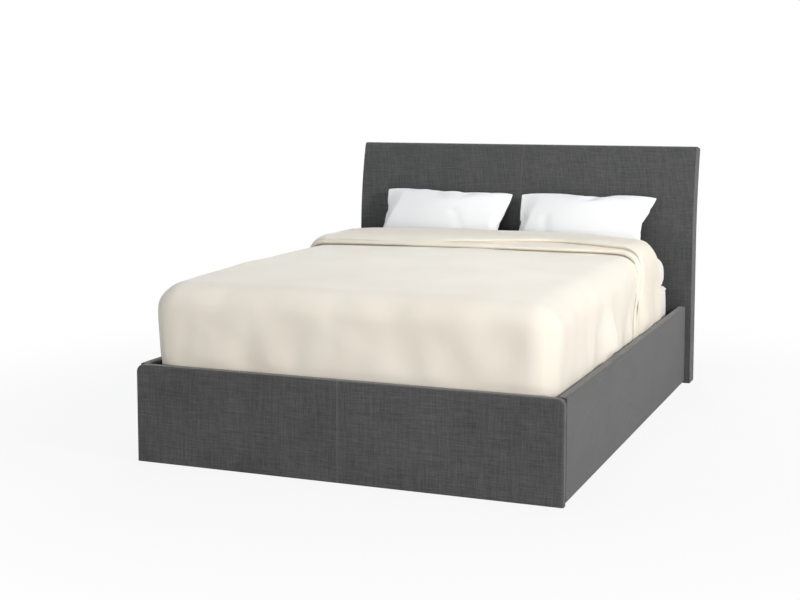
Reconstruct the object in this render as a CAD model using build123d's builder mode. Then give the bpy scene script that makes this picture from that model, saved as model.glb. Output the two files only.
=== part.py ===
from build123d import *
import os
from math import asin, cos, degrees, hypot, radians, sin

os.makedirs("parts", exist_ok=True)

# Driving dimensions of the bed, in millimetres. Y runs from the foot to the headboard.
BASE_WIDTH = 1620
BASE_LENGTH = 2150
RAIL_HEIGHT = 362
RAIL_FLOOR_GAP = 10
BOARD = 18
PADDING = 8
FOOT_CORNER_ROUND = 28
COVER_EDGE_ROUND = 7
SEAM_WIDTH = 2.5
SEAM_DEPTH = 2
OVERRUN = 5
SOFT_GAP = 0.3
RUNNING_FIT = 0.05

# Headboard
HEADBOARD_WIDTH = 1673
HEADBOARD_HEIGHT = 1108
HEADBOARD_DEPTH = 100
HEADBOARD_BEND_START = 640
HEADBOARD_BEND_RADIUS = 1724
HEADBOARD_TOP_FALL = 15
HEADBOARD_TOP_ROUND = 24
HEADBOARD_BACK_ROUND = 6
HEADBOARD_PANEL = 6
HEADBOARD_SEAM_SHARES = (-0.5, 0, 0.5)
BACK_CLOTH = 2
RIB_COUNT = 5
HEAD_RAIL_WIDTH = 60
HEAD_RAIL_DEPTH = 20
HEAD_RAIL_HEIGHTS = (120, 540)

# Floor of the storage well
BATTEN = 20
FLOOR_BOARD = 6
FLOOR_BOARD_COUNT = 4
FLOOR_BOARD_GAP = 2
FLOOR_BOARD_EDGE_GAP = 1
CENTRE_BEAM_WIDTH = 44
GLIDE_RADIUS = 18
GLIDE_INSET = 90
BEAM_GLIDE_COUNT = 3

# Corner brackets and bolts
BRACKET_LEG = 56
BRACKET_STEEL = 3
BRACKET_HEIGHT = 160
BRACKET_BOTTOM = 110
BRACKET_ROUND = 6
BOLT_HEAD_RADIUS = 7
BOLT_HEAD_HEIGHT = 3.4
BOLT_HEAD_ROUND = 1.5
BOLT_RADIUS = 4
BOLT_GRIP = 14
BRACKET_BOLT_SHARE = 0.6
UPPER_BOLT_SHARES = (0.2, 0.8)
LOWER_BOLT_SHARE = 0.4
REAR_BOLT_SHARE = 0.5

# Lift mechanism: pivots of the closed bed, measured from the foot and the floor
FRONT_STUD_FROM_HEADBOARD = 895
FRONT_STUD_HEIGHT = 88
REAR_STUD_SETBACK = 328
REAR_STUD_RISE = 171
FRONT_ARM_LENGTH = 408
REAR_ARM_LENGTH = 138
LIFT_PLATE_SPAN = 100
FRONT_ARM_ANGLE = 14.664
REAR_ARM_ANGLE = 1.203
LIFT_PLATE_ANGLE = 44.532
STRUT_STUD_FROM_HEADBOARD = 641.4
STRUT_STUD_HEIGHT = 52
STRUT_EYE_FROM_HEADBOARD = 441.4
STRUT_EYE_HEIGHT = 202
ARM_WIDTH = 30
ARM_THICKNESS = 5
LIFT_STEEL = 3
STUD_COLLAR_RADIUS = 9
STUD_RADIUS = 6
STRUT_STUD_RADIUS = 5
OPEN_PIVOT_PLAY = 0.9
LAYER_GAP = 1.5
RING_THICKNESS = 2
RING_RADIUS = 10
BASE_PLATE_MARGIN = 26
BASE_PLATE_WINDOW = 34
STRUT_STUD_MARGIN = 14
LIFT_PLATE_MARGIN = 17
LIFT_STRIP_LENGTH = 420
LIFT_STRIP_FOOT_SHARE = 0.55
LIFT_BOLT_SHARES = (0.06, 0.3, 0.7, 0.94)
STRUT_TUBE_RADIUS = 10
STRUT_TUBE_WALL = 1.5
STRUT_ROD_RADIUS = 4
STRUT_EYE_RADIUS = 9
STRUT_EYE_WIDTH = 10
STRUT_PLAY = 0.6
STRUT_NECK_RADIUS = 5
STRUT_NECK_LENGTH = 14
STUD_END = 0.5
STRUT_TUBE_SHARE = 0.76
STRUT_ROD_SHARE = 0.56
STRUT_PISTON_LENGTH = 12
STRUT_GLAND_LENGTH = 8
STRUT_SIDE_GAP = 5

# Platform frame, slats and what is fixed to it
TUBE = 30
TUBE_WALL = 1.8
TUBE_ROUND = 3
TUBE_BOTTOM = 220
PLATFORM_SIDE_GAP = 26
PLATFORM_FOOT_GAP = 22
PLATFORM_HEAD_GAP = 110
END_CAP = 3
END_CAP_PLUG = 12
CROSS_TUBE_SHARES = (0.36, 0.68)
SLAT_COUNT = 16
SLAT_WIDTH = 53
SLAT_THICKNESS = 8
SLAT_BOW = 10
SLAT_INSERTION = 18
SLAT_LIFT = 2
SLAT_FIRST_INSET = 50
HOLDER_LENGTH = 62
HOLDER_WIDTH = 26
HOLDER_HEIGHT = 13.5
HOLDER_POCKET = 9.4
CENTRE_HOLDER_WIDTH = 48
HOLDER_PLAY = 0.4
REST_BATTEN_DEPTH = 50
REST_BATTEN_HEIGHT = 30
REST_BATTEN_END_GAP = 126
BUFFER_RADIUS = 12
BUFFER_HEIGHT = 10
BUFFER_INSET = 200
STOP_BAR_RADIUS = 5
STOP_BAR_WIDTH = 260
STOP_BAR_INSET = 240
STOP_BAR_TOP = 300
STOP_BAR_BEND = 8
STRAP_WIDTH = 40
STRAP_THICKNESS = 2.4
STRAP_LOOP_DEPTH = 8
STRAP_LOOP_HEIGHT = 40
STRAP_TOP = 296

# Bedding
MATTRESS_SIDE_GAP = 1
MATTRESS_HEAD_GAP = 100
MATTRESS_FOOT_GAP = 16
MATTRESS_BODY = 205
MATTRESS_CORNER = 60
MATTRESS_EDGE_ROUND = 22
PAD_INSET = 10
PAD_THICKNESS = 136
PAD_TOP_ROUND = 52
PAD_BOTTOM_ROUND = 24
DUVET_SIDE_WALL = 13
DUVET_HEAD_GAP = 305
DUVET_FOOT_GAP = 3
DUVET_HEM_HEIGHT = 315
DUVET_SIDE_TOP = 556
DUVET_SHOULDER = 100
DUVET_SHOULDER_ANGLE = 82
FOLD_SHOULDER_ANGLE = 84
DUVET_TOP = 686
DUVET_FOOT_ROUND = 62
FOLD_LENGTH = 505
FOLD_RISE = 36
FOLD_SHOULDER = 134
FOLD_EDGE_ROUND = 14
PILLOW_WIDTH = 648
PILLOW_THICKNESS = 110
PILLOW_SPACING = 697
PILLOW_FOOT_FROM_HEADBOARD = 200
PILLOW_TOP_FROM_HEADBOARD = 24
PILLOW_TOP_HEIGHT = 882
PILLOW_END_THICKNESS = 14
PILLOW_STATION_SHARES = (-1, -0.72, 0, 0.72, 1)
PILLOW_THICKNESS_SHARES = (0, 0.82, 1, 0.82, 0)
PILLOW_DRAW_IN_SHARES = (0, 0.035, 0.055, 0.035, 0)

# Heights and places that follow from these
PANEL = BOARD + 2 * PADDING
BEND_RISE = HEADBOARD_HEIGHT - HEADBOARD_BEND_START
FRONT_BEND_ANGLE = degrees(asin(BEND_RISE / HEADBOARD_BEND_RADIUS))
BACK_BEND_RADIUS = HEADBOARD_BEND_RADIUS - HEADBOARD_DEPTH
BACK_BEND_ANGLE = degrees(asin((BEND_RISE - HEADBOARD_TOP_FALL) / BACK_BEND_RADIUS))
BACK_COS = cos(radians(BACK_BEND_ANGLE))
BACK_SIN = sin(radians(BACK_BEND_ANGLE))
HEADBOARD_REACH = (
    HEADBOARD_BEND_RADIUS - BACK_BEND_RADIUS * BACK_COS - HEADBOARD_BACK_ROUND * (BACK_COS + BACK_SIN - 1)
)
FOOT = -(BASE_LENGTH + HEADBOARD_REACH) / 2
HEAD = FOOT + BASE_LENGTH
INNER_FOOT = FOOT + PANEL
INNER_SIDE = BASE_WIDTH / 2 - PANEL
RAIL_CENTRE = (BASE_WIDTH - PANEL) / 2
WELL_LENGTH = HEAD - INNER_FOOT
WELL_MIDDLE = (HEAD + INNER_FOOT) / 2
FLOOR_TOP = RAIL_FLOOR_GAP + BATTEN + FLOOR_BOARD
TUBE_BORE = TUBE - 2 * TUBE_WALL
TUBE_TOP = TUBE_BOTTOM + TUBE
TUBE_MIDDLE = TUBE_BOTTOM + TUBE / 2
PLATFORM_SIDE = INNER_SIDE - PLATFORM_SIDE_GAP
PLATFORM_FOOT = INNER_FOOT + PLATFORM_FOOT_GAP
PLATFORM_HEAD = HEAD - PLATFORM_HEAD_GAP
PLATFORM_LENGTH = PLATFORM_HEAD - PLATFORM_FOOT
SLAT_TOP = TUBE_TOP + SLAT_LIFT + SLAT_THICKNESS + SLAT_BOW
MATTRESS_BOTTOM = SLAT_TOP + SOFT_GAP
MATTRESS_FOOT = INNER_FOOT + MATTRESS_FOOT_GAP
FOOT_GAP_MIDDLE = (INNER_FOOT + MATTRESS_FOOT) / 2
MATTRESS_WIDTH = 2 * (PLATFORM_SIDE - MATTRESS_SIDE_GAP)
MATTRESS_LENGTH = HEAD - MATTRESS_HEAD_GAP - MATTRESS_FOOT
MATTRESS_MIDDLE = MATTRESS_FOOT + MATTRESS_LENGTH / 2
PAD_BOTTOM = MATTRESS_BOTTOM + MATTRESS_BODY
PAD_TOP = PAD_BOTTOM + PAD_THICKNESS
SIDES = (("left", -1), ("right", 1))


def along(start, length, angle):
    return (start[0] + length * cos(radians(angle)), start[1] + length * sin(radians(angle)))


def between(start, end, share):
    return (start[0] + (end[0] - start[0]) * share, start[1] + (end[1] - start[1]) * share)


# Pivots as (Y, Z) points of the side view
FRONT_STUD = (HEAD - FRONT_STUD_FROM_HEADBOARD, FRONT_STUD_HEIGHT)
REAR_STUD = (FRONT_STUD[0] + REAR_STUD_SETBACK, FRONT_STUD[1] + REAR_STUD_RISE)
FRONT_EYE = along(FRONT_STUD, FRONT_ARM_LENGTH, FRONT_ARM_ANGLE)
REAR_EYE = along(FRONT_EYE, LIFT_PLATE_SPAN, LIFT_PLATE_ANGLE)
REAR_ARM_END = along(REAR_STUD, REAR_ARM_LENGTH, REAR_ARM_ANGLE)
STRUT_STUD = (HEAD - STRUT_STUD_FROM_HEADBOARD, STRUT_STUD_HEIGHT)
STRUT_EYE = (HEAD - STRUT_EYE_FROM_HEADBOARD, STRUT_EYE_HEIGHT)

# Layers of the mechanism between the platform tube and the side rail, as X distances
LIFT_PLATE_FACE = PLATFORM_SIDE + LIFT_STEEL
FRONT_ARM_INNER = LIFT_PLATE_FACE + LAYER_GAP
FRONT_ARM_OUTER = FRONT_ARM_INNER + ARM_THICKNESS
REAR_ARM_INNER = FRONT_ARM_OUTER + RING_THICKNESS + LAYER_GAP
REAR_ARM_OUTER = REAR_ARM_INNER + ARM_THICKNESS
BASE_PLATE_FACE = INNER_SIDE - LIFT_STEEL
STRUT_LAYER = PLATFORM_SIDE - STRUT_SIDE_GAP - STRUT_TUBE_RADIUS
STRUT_EYE_OUTER = STRUT_LAYER + STRUT_EYE_WIDTH / 2
STRUT_EYE_INNER = STRUT_LAYER - STRUT_EYE_WIDTH / 2


def turned(side, place, steps):
    with BuildPart() as piece:
        for inner, outer, radius in steps:
            with BuildSketch(Plane.YZ.offset(min(side * inner, side * outer))):
                with Locations(place):
                    Circle(radius)
            extrude(amount=outer - inner)
    return piece.part


def bolts(plane, spots):
    with BuildPart() as group:
        with BuildSketch(plane):
            with Locations(*spots):
                Circle(BOLT_HEAD_RADIUS)
        extrude(amount=BOLT_HEAD_HEIGHT)
        head_faces = group.faces().sort_by(Axis(plane.origin, plane.z_dir))[-len(spots):]
        fillet(head_faces.edges(), BOLT_HEAD_ROUND)
        with BuildSketch(plane):
            with Locations(*spots):
                Circle(BOLT_RADIUS)
        extrude(amount=-BOLT_GRIP)
    return group.part


# Bolts of the corner brackets and of the lift base plates, made first so that they bore what they hold
ENDS = ((INNER_FOOT, 1), (HEAD, -1))
BRACKET_BOLT_OFFSET = BRACKET_LEG * BRACKET_BOLT_SHARE
BRACKET_BOLT_SPOTS = [
    (BRACKET_BOTTOM + BRACKET_LEG / 2, 0),
    (BRACKET_BOTTOM + BRACKET_HEIGHT - BRACKET_LEG / 2, 0),
]
with BuildPart() as corner_bolts:
    for _, side in SIDES:
        for end_y, inward in ENDS:
            end_plane = Plane(
                (side * (INNER_SIDE - BRACKET_BOLT_OFFSET), end_y + inward * BRACKET_STEEL, 0),
                x_dir=(0, 0, 1),
                z_dir=(0, inward, 0),
            )
            side_plane = Plane(
                (side * (INNER_SIDE - BRACKET_STEEL), end_y + inward * BRACKET_BOLT_OFFSET, 0),
                x_dir=(0, 0, 1),
                z_dir=(-side, 0, 0),
            )
            add(bolts(end_plane, BRACKET_BOLT_SPOTS))
            add(bolts(side_plane, BRACKET_BOLT_SPOTS))
corner_bolts.part.label = "corner_bolts"
export_step(corner_bolts.part, "parts/corner_bolts.step")

LIFT_BASE_BOLT_SPOTS = [between(FRONT_STUD, REAR_STUD, share) for share in UPPER_BOLT_SHARES]
LIFT_BASE_BOLT_SPOTS.append(between(FRONT_STUD, STRUT_STUD, LOWER_BOLT_SHARE))
LIFT_BASE_BOLT_SPOTS.append(between(STRUT_STUD, REAR_STUD, REAR_BOLT_SHARE))
with BuildPart() as lift_base_bolts:
    for _, side in SIDES:
        plate_plane = Plane((side * BASE_PLATE_FACE, 0, 0), x_dir=(0, 1, 0), z_dir=(-side, 0, 0))
        spots = [(y, -side * z) for y, z in LIFT_BASE_BOLT_SPOTS]
        add(bolts(plate_plane, spots))
lift_base_bolts.part.label = "lift_base_bolts"
export_step(lift_base_bolts.part, "parts/lift_base_bolts.step")


# Headboard
def headboard_outline(front_inset, back_inset, top_inset):
    front_radius = HEADBOARD_BEND_RADIUS - front_inset
    back_radius = BACK_BEND_RADIUS + back_inset
    centre_y = HEAD + HEADBOARD_BEND_RADIUS
    front_turn = FRONT_BEND_ANGLE - degrees(top_inset / front_radius)
    back_turn = BACK_BEND_ANGLE - degrees(top_inset / back_radius)
    with BuildSketch() as outline:
        with BuildLine():
            front = Line((centre_y - front_radius, 0), (centre_y - front_radius, HEADBOARD_BEND_START))
            bend = CenterArc((centre_y, HEADBOARD_BEND_START), front_radius, 180, -front_turn)
            back_bend = CenterArc((centre_y, HEADBOARD_BEND_START), back_radius, 180, -back_turn)
            Line(bend @ 1, back_bend @ 1)
            back = Line(back_bend @ 0, (centre_y - back_radius, 0))
            Line(back @ 1, front @ 0)
        make_face()
    return outline.sketch


def headboard_layer(front_inset, back_inset):
    with BuildSketch() as layer:
        add(headboard_outline(PADDING, -OVERRUN, PADDING))
        add(headboard_outline(front_inset, back_inset, -OVERRUN), mode=Mode.INTERSECT)
    return layer.sketch


HALF_HEADBOARD = HEADBOARD_WIDTH / 2
CAVITY_SIDE = HALF_HEADBOARD - PADDING
with BuildPart() as headboard_cover:
    with BuildSketch(Plane.YZ.offset(-HALF_HEADBOARD)):
        add(headboard_outline(0, 0, 0))
    extrude(amount=HEADBOARD_WIDTH)
    top_edges = headboard_cover.edges().filter_by(Axis.X).sort_by(Axis.Z)[-2:].sort_by(Axis.Y)
    fillet(top_edges[0], HEADBOARD_TOP_ROUND)
    fillet(headboard_cover.edges().filter_by(Axis.X).sort_by(Axis.Y)[-1], HEADBOARD_BACK_ROUND)
    with BuildSketch(Plane.YZ.offset(-CAVITY_SIDE)):
        add(headboard_outline(PADDING, -OVERRUN, PADDING))
    extrude(amount=2 * CAVITY_SIDE, mode=Mode.SUBTRACT)
    for share in HEADBOARD_SEAM_SHARES:
        with BuildSketch(Plane.YZ.offset(share * HALF_HEADBOARD - SEAM_WIDTH / 2)):
            add(headboard_outline(-OVERRUN, 0, -OVERRUN))
            add(headboard_outline(SEAM_DEPTH, -OVERRUN, SEAM_DEPTH), mode=Mode.SUBTRACT)
        extrude(amount=SEAM_WIDTH, mode=Mode.SUBTRACT)
    add(corner_bolts.part, mode=Mode.SUBTRACT)
headboard_cover.part.label = "headboard_cover"
export_step(headboard_cover.part, "parts/headboard_cover.step")

with BuildPart() as headboard_panel:
    with BuildSketch(Plane.YZ.offset(-CAVITY_SIDE)):
        add(headboard_layer(PADDING, 0))
        add(headboard_outline(PADDING + HEADBOARD_PANEL, -OVERRUN, -2 * OVERRUN), mode=Mode.SUBTRACT)
    extrude(amount=2 * CAVITY_SIDE)
    add(corner_bolts.part, mode=Mode.SUBTRACT)
headboard_panel.part.label = "headboard_panel"
export_step(headboard_panel.part, "parts/headboard_panel.step")

with BuildPart() as headboard_back_cloth:
    with BuildSketch(Plane.YZ.offset(-CAVITY_SIDE)):
        add(headboard_layer(PADDING + HEADBOARD_PANEL, 0))
        add(headboard_outline(-OVERRUN, BACK_CLOTH, -2 * OVERRUN), mode=Mode.SUBTRACT)
    extrude(amount=2 * CAVITY_SIDE)
headboard_back_cloth.part.label = "headboard_back_cloth"
export_step(headboard_back_cloth.part, "parts/headboard_back_cloth.step")

# Cross rails let into the backs of the ribs
HEAD_RAIL_BACK = HEAD + HEADBOARD_DEPTH - BACK_CLOTH
with BuildPart() as headboard_rails:
    for height in HEAD_RAIL_HEIGHTS:
        with BuildSketch(Plane.XY.offset(height)):
            with Locations((0, HEAD_RAIL_BACK - HEAD_RAIL_DEPTH / 2)):
                Rectangle(2 * CAVITY_SIDE, HEAD_RAIL_DEPTH)
        extrude(amount=HEAD_RAIL_WIDTH)
headboard_rails.part.label = "headboard_rails"
export_step(headboard_rails.part, "parts/headboard_rails.step")

RIB_SPAN = 2 * CAVITY_SIDE - BOARD
with BuildPart() as headboard_ribs:
    for index in range(RIB_COUNT):
        rib_x = -RIB_SPAN / 2 + index * RIB_SPAN / (RIB_COUNT - 1)
        with BuildSketch(Plane.YZ.offset(rib_x - BOARD / 2)):
            add(headboard_layer(PADDING + HEADBOARD_PANEL, BACK_CLOTH))
        extrude(amount=BOARD)
    add(headboard_rails.part, mode=Mode.SUBTRACT)
headboard_ribs.part.label = "headboard_ribs"
export_step(headboard_ribs.part, "parts/headboard_ribs.step")


# Foot panel and side rails: boards under a wrapped cover that is open at the bottom
def foot_panel_block(inset, bottom, corner):
    with BuildPart() as block:
        with BuildSketch(Plane.XY.offset(bottom)):
            with Locations((0, FOOT + PANEL / 2)):
                Rectangle(BASE_WIDTH - 2 * inset, PANEL - 2 * inset)
        extrude(amount=RAIL_HEIGHT - inset - bottom)
        fillet(block.edges().filter_by(Axis.Y).group_by(Axis.Z)[-1], corner)
    return block.part


with BuildPart() as foot_panel_board:
    add(foot_panel_block(PADDING, 0, FOOT_CORNER_ROUND - PADDING))
    add(corner_bolts.part, mode=Mode.SUBTRACT)
foot_panel_board.part.label = "foot_panel_board"
export_step(foot_panel_board.part, "parts/foot_panel_board.step")

with BuildPart() as foot_panel_cover:
    add(foot_panel_block(0, 0, FOOT_CORNER_ROUND))
    for face in (foot_panel_cover.faces().sort_by(Axis.Y)[0], foot_panel_cover.faces().sort_by(Axis.Y)[-1]):
        fillet(face.edges().sort_by(Axis.Z)[1:], COVER_EDGE_ROUND)
    add(foot_panel_board.part, mode=Mode.SUBTRACT)
    with BuildSketch(Plane.XY):
        with Locations((0, FOOT)):
            Rectangle(SEAM_WIDTH, 2 * SEAM_DEPTH)
    extrude(amount=RAIL_HEIGHT, mode=Mode.SUBTRACT)
    add(corner_bolts.part, mode=Mode.SUBTRACT)
foot_panel_cover.part.label = "foot_panel_cover"
export_step(foot_panel_cover.part, "parts/foot_panel_cover.step")

for name, side in SIDES:
    rail_x = side * RAIL_CENTRE
    with BuildPart() as rail_board:
        with BuildSketch(Plane.XY.offset(RAIL_FLOOR_GAP)):
            with Locations((rail_x, WELL_MIDDLE)):
                Rectangle(BOARD, WELL_LENGTH)
        extrude(amount=RAIL_HEIGHT - PADDING - RAIL_FLOOR_GAP)
        add(corner_bolts.part, mode=Mode.SUBTRACT)
        add(lift_base_bolts.part, mode=Mode.SUBTRACT)
    rail_board.part.label = f"{name}_side_rail_board"
    export_step(rail_board.part, f"parts/{name}_side_rail_board.step")

    with BuildPart() as rail_cover:
        with BuildSketch(Plane.XY.offset(RAIL_FLOOR_GAP)):
            with Locations((rail_x, WELL_MIDDLE)):
                Rectangle(PANEL, WELL_LENGTH)
        extrude(amount=RAIL_HEIGHT - RAIL_FLOOR_GAP)
        fillet(rail_cover.edges().filter_by(Axis.Y).group_by(Axis.Z)[-1], COVER_EDGE_ROUND)
        add(rail_board.part, mode=Mode.SUBTRACT)
        add(corner_bolts.part, mode=Mode.SUBTRACT)
        add(lift_base_bolts.part, mode=Mode.SUBTRACT)
    rail_cover.part.label = f"{name}_side_rail_cover"
    export_step(rail_cover.part, f"parts/{name}_side_rail_cover.step")


# Corner brackets: angle steel between the rails and the end panels
def corner_bracket(side, end_y, inward):
    corner_x = side * INNER_SIDE
    with BuildPart() as bracket:
        with BuildSketch(Plane.XY.offset(BRACKET_BOTTOM)):
            with Locations((corner_x - side * BRACKET_LEG / 2, end_y + inward * BRACKET_STEEL / 2)):
                Rectangle(BRACKET_LEG, BRACKET_STEEL)
            with Locations((corner_x - side * BRACKET_STEEL / 2, end_y + inward * BRACKET_LEG / 2)):
                Rectangle(BRACKET_STEEL, BRACKET_LEG)
        extrude(amount=BRACKET_HEIGHT)
        across = bracket.edges().filter_by(Axis.Y).group_by(Axis.X)
        lengthwise = bracket.edges().filter_by(Axis.X).group_by(Axis.Y)
        fillet(across[0 if side > 0 else -1] + lengthwise[-1 if inward > 0 else 0], BRACKET_ROUND)
    return bracket.part


with BuildPart() as corner_brackets:
    for _, side in SIDES:
        for end_y, inward in ENDS:
            add(corner_bracket(side, end_y, inward))
    add(corner_bolts.part, mode=Mode.SUBTRACT)
corner_brackets.part.label = "corner_brackets"
export_step(corner_brackets.part, "parts/corner_brackets.step")

# Floor of the storage well
with BuildPart() as floor_battens:
    with BuildSketch(Plane.XY.offset(RAIL_FLOOR_GAP)):
        with Locations((INNER_SIDE - BATTEN / 2, WELL_MIDDLE), (BATTEN / 2 - INNER_SIDE, WELL_MIDDLE)):
            Rectangle(BATTEN, WELL_LENGTH)
        with Locations((0, INNER_FOOT + BATTEN / 2), (0, HEAD - BATTEN / 2)):
            Rectangle(2 * (INNER_SIDE - BATTEN - FLOOR_BOARD_GAP), BATTEN)
    extrude(amount=BATTEN)
floor_battens.part.label = "floor_battens"
export_step(floor_battens.part, "parts/floor_battens.step")

BEAM_LENGTH = WELL_LENGTH - 2 * BATTEN
with BuildPart() as centre_floor_beam:
    with BuildSketch(Plane.XY.offset(RAIL_FLOOR_GAP)):
        with Locations((0, WELL_MIDDLE)):
            Rectangle(CENTRE_BEAM_WIDTH, BEAM_LENGTH)
    extrude(amount=BATTEN)
centre_floor_beam.part.label = "centre_floor_beam"
export_step(centre_floor_beam.part, "parts/centre_floor_beam.step")

BOARD_WIDTH = 2 * (INNER_SIDE - FLOOR_BOARD_EDGE_GAP)
BOARD_GAPS = 2 * FLOOR_BOARD_EDGE_GAP + (FLOOR_BOARD_COUNT - 1) * FLOOR_BOARD_GAP
BOARD_LENGTH = (WELL_LENGTH - BOARD_GAPS) / FLOOR_BOARD_COUNT
FIRST_BOARD_Y = INNER_FOOT + FLOOR_BOARD_EDGE_GAP + BOARD_LENGTH / 2
for index in range(FLOOR_BOARD_COUNT):
    board_y = FIRST_BOARD_Y + index * (BOARD_LENGTH + FLOOR_BOARD_GAP)
    with BuildPart() as floor_board:
        with BuildSketch(Plane.XY.offset(RAIL_FLOOR_GAP + BATTEN)):
            with Locations((0, board_y)):
                Rectangle(BOARD_WIDTH, BOARD_LENGTH)
        extrude(amount=FLOOR_BOARD)
    floor_board.part.label = f"floor_board_{index + 1}"
    export_step(floor_board.part, f"parts/floor_board_{index + 1}.step")

with BuildPart() as floor_glides:
    with BuildSketch(Plane.XY):
        for side_x in (-RAIL_CENTRE, RAIL_CENTRE):
            for glide_y in (INNER_FOOT + GLIDE_INSET, HEAD - GLIDE_INSET, WELL_MIDDLE):
                with Locations((side_x, glide_y)):
                    Circle(BOARD / 2)
        for index in range(BEAM_GLIDE_COUNT):
            spot = INNER_FOOT + WELL_LENGTH * (index + 1) / (BEAM_GLIDE_COUNT + 1)
            with Locations((0, spot)):
                Circle(GLIDE_RADIUS)
    extrude(amount=RAIL_FLOOR_GAP)
floor_glides.part.label = "floor_glides"
export_step(floor_glides.part, "parts/floor_glides.step")

# Batten and rubber buffers that the foot of the closed platform lies on
REST_BATTEN_SIDE = INNER_SIDE - REST_BATTEN_END_GAP
BUFFER_X = REST_BATTEN_SIDE - BUFFER_INSET
BUFFER_Y = PLATFORM_FOOT + TUBE / 2
with BuildPart() as foot_rest_batten:
    with BuildSketch(Plane.XY.offset(TUBE_BOTTOM - BUFFER_HEIGHT - REST_BATTEN_HEIGHT)):
        with Locations((0, INNER_FOOT + REST_BATTEN_DEPTH / 2)):
            Rectangle(2 * REST_BATTEN_SIDE, REST_BATTEN_DEPTH)
    extrude(amount=REST_BATTEN_HEIGHT)
foot_rest_batten.part.label = "foot_rest_batten"
export_step(foot_rest_batten.part, "parts/foot_rest_batten.step")

with BuildPart() as rest_buffers:
    with BuildSketch(Plane.XY.offset(TUBE_BOTTOM - BUFFER_HEIGHT)):
        with Locations((BUFFER_X, BUFFER_Y), (-BUFFER_X, BUFFER_Y)):
            Circle(BUFFER_RADIUS)
    extrude(amount=BUFFER_HEIGHT)
rest_buffers.part.label = "rest_buffers"
export_step(rest_buffers.part, "parts/rest_buffers.step")


# Lift mechanism, fixed part
BASE_PLATE_MIDDLE = (
    (FRONT_STUD[0] + REAR_STUD[0] + STRUT_STUD[0]) / 3,
    (FRONT_STUD[1] + REAR_STUD[1] + STRUT_STUD[1]) / 3,
)
for name, side in SIDES:
    with BuildPart() as lift_base_plate:
        with BuildSketch(Plane.YZ.offset(min(side * BASE_PLATE_FACE, side * INNER_SIDE))):
            with Locations(FRONT_STUD, REAR_STUD):
                Circle(BASE_PLATE_MARGIN)
            with Locations(STRUT_STUD):
                Circle(STRUT_STUD_MARGIN)
            make_hull()
            with Locations(BASE_PLATE_MIDDLE):
                Circle(BASE_PLATE_WINDOW, mode=Mode.SUBTRACT)
        extrude(amount=LIFT_STEEL)
        add(lift_base_bolts.part, mode=Mode.SUBTRACT)
    lift_base_plate.part.label = f"{name}_lift_base_plate"
    export_step(lift_base_plate.part, f"parts/{name}_lift_base_plate.step")

FRONT_STUD_TIP = FRONT_ARM_INNER - RING_THICKNESS - STUD_END
REAR_STUD_TIP = REAR_ARM_INNER - RING_THICKNESS - STUD_END
STRUT_STUD_TIP = STRUT_EYE_INNER - RING_THICKNESS - STUD_END
with BuildPart() as lift_base_studs:
    for _, side in SIDES:
        add(turned(side, FRONT_STUD, ((FRONT_ARM_OUTER, BASE_PLATE_FACE, STUD_COLLAR_RADIUS),
                                      (FRONT_STUD_TIP, FRONT_ARM_OUTER, STUD_RADIUS))))
        add(turned(side, REAR_STUD, ((REAR_ARM_OUTER, BASE_PLATE_FACE, STUD_COLLAR_RADIUS),
                                     (REAR_STUD_TIP, REAR_ARM_OUTER, STUD_RADIUS))))
        add(turned(side, STRUT_STUD, ((STRUT_EYE_OUTER, BASE_PLATE_FACE, STUD_COLLAR_RADIUS),
                                      (STRUT_STUD_TIP, STRUT_EYE_OUTER, STRUT_STUD_RADIUS))))
lift_base_studs.part.label = "lift_base_studs"
export_step(lift_base_studs.part, "parts/lift_base_studs.step")


def retaining_ring(side, place, inner, bore):
    with BuildPart() as ring:
        with BuildSketch(Plane.YZ.offset(min(side * inner, side * (inner + RING_THICKNESS)))):
            with Locations(place):
                Circle(RING_RADIUS)
                Circle(bore, mode=Mode.SUBTRACT)
        extrude(amount=RING_THICKNESS)
    return ring.part


with BuildPart() as lift_base_rings:
    for _, side in SIDES:
        add(retaining_ring(side, FRONT_STUD, FRONT_ARM_INNER - RING_THICKNESS, STUD_RADIUS))
        add(retaining_ring(side, REAR_STUD, REAR_ARM_INNER - RING_THICKNESS, STUD_RADIUS))
        add(retaining_ring(side, STRUT_STUD, STRUT_EYE_INNER - RING_THICKNESS, STRUT_STUD_RADIUS))
lift_base_rings.part.label = "lift_base_rings"
export_step(lift_base_rings.part, "parts/lift_base_rings.step")


# Arms of the lift
def arm(side, inner, start, end, end_bore):
    with BuildPart() as bar:
        with BuildSketch(Plane.YZ.offset(min(side * inner, side * (inner + ARM_THICKNESS)))):
            with Locations(start, end):
                Circle(ARM_WIDTH / 2)
            make_hull()
            with Locations(start):
                Circle(STUD_RADIUS + RUNNING_FIT, mode=Mode.SUBTRACT)
            with Locations(end):
                Circle(end_bore, mode=Mode.SUBTRACT)
        extrude(amount=ARM_THICKNESS)
    return bar.part


for name, side in SIDES:
    front_arm = arm(side, FRONT_ARM_INNER, FRONT_STUD, FRONT_EYE, STUD_RADIUS + RUNNING_FIT)
    front_arm.label = f"{name}_front_arm"
    export_step(front_arm, f"parts/{name}_front_arm.step")
    rear_arm = arm(side, REAR_ARM_INNER, REAR_STUD, REAR_ARM_END, STUD_RADIUS + OPEN_PIVOT_PLAY)
    rear_arm.label = f"{name}_rear_arm"
    export_step(rear_arm, f"parts/{name}_rear_arm.step")

# Gas struts: cylinder on the base, rod on the platform
STRUT_RUN = (STRUT_EYE[0] - STRUT_STUD[0], STRUT_EYE[1] - STRUT_STUD[1])
STRUT_LENGTH = hypot(*STRUT_RUN)
STRUT_BORE = STRUT_TUBE_RADIUS - STRUT_TUBE_WALL
STRUT_TUBE_END = STRUT_LENGTH * STRUT_TUBE_SHARE
STRUT_ROD_LENGTH = STRUT_LENGTH * STRUT_ROD_SHARE


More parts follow.
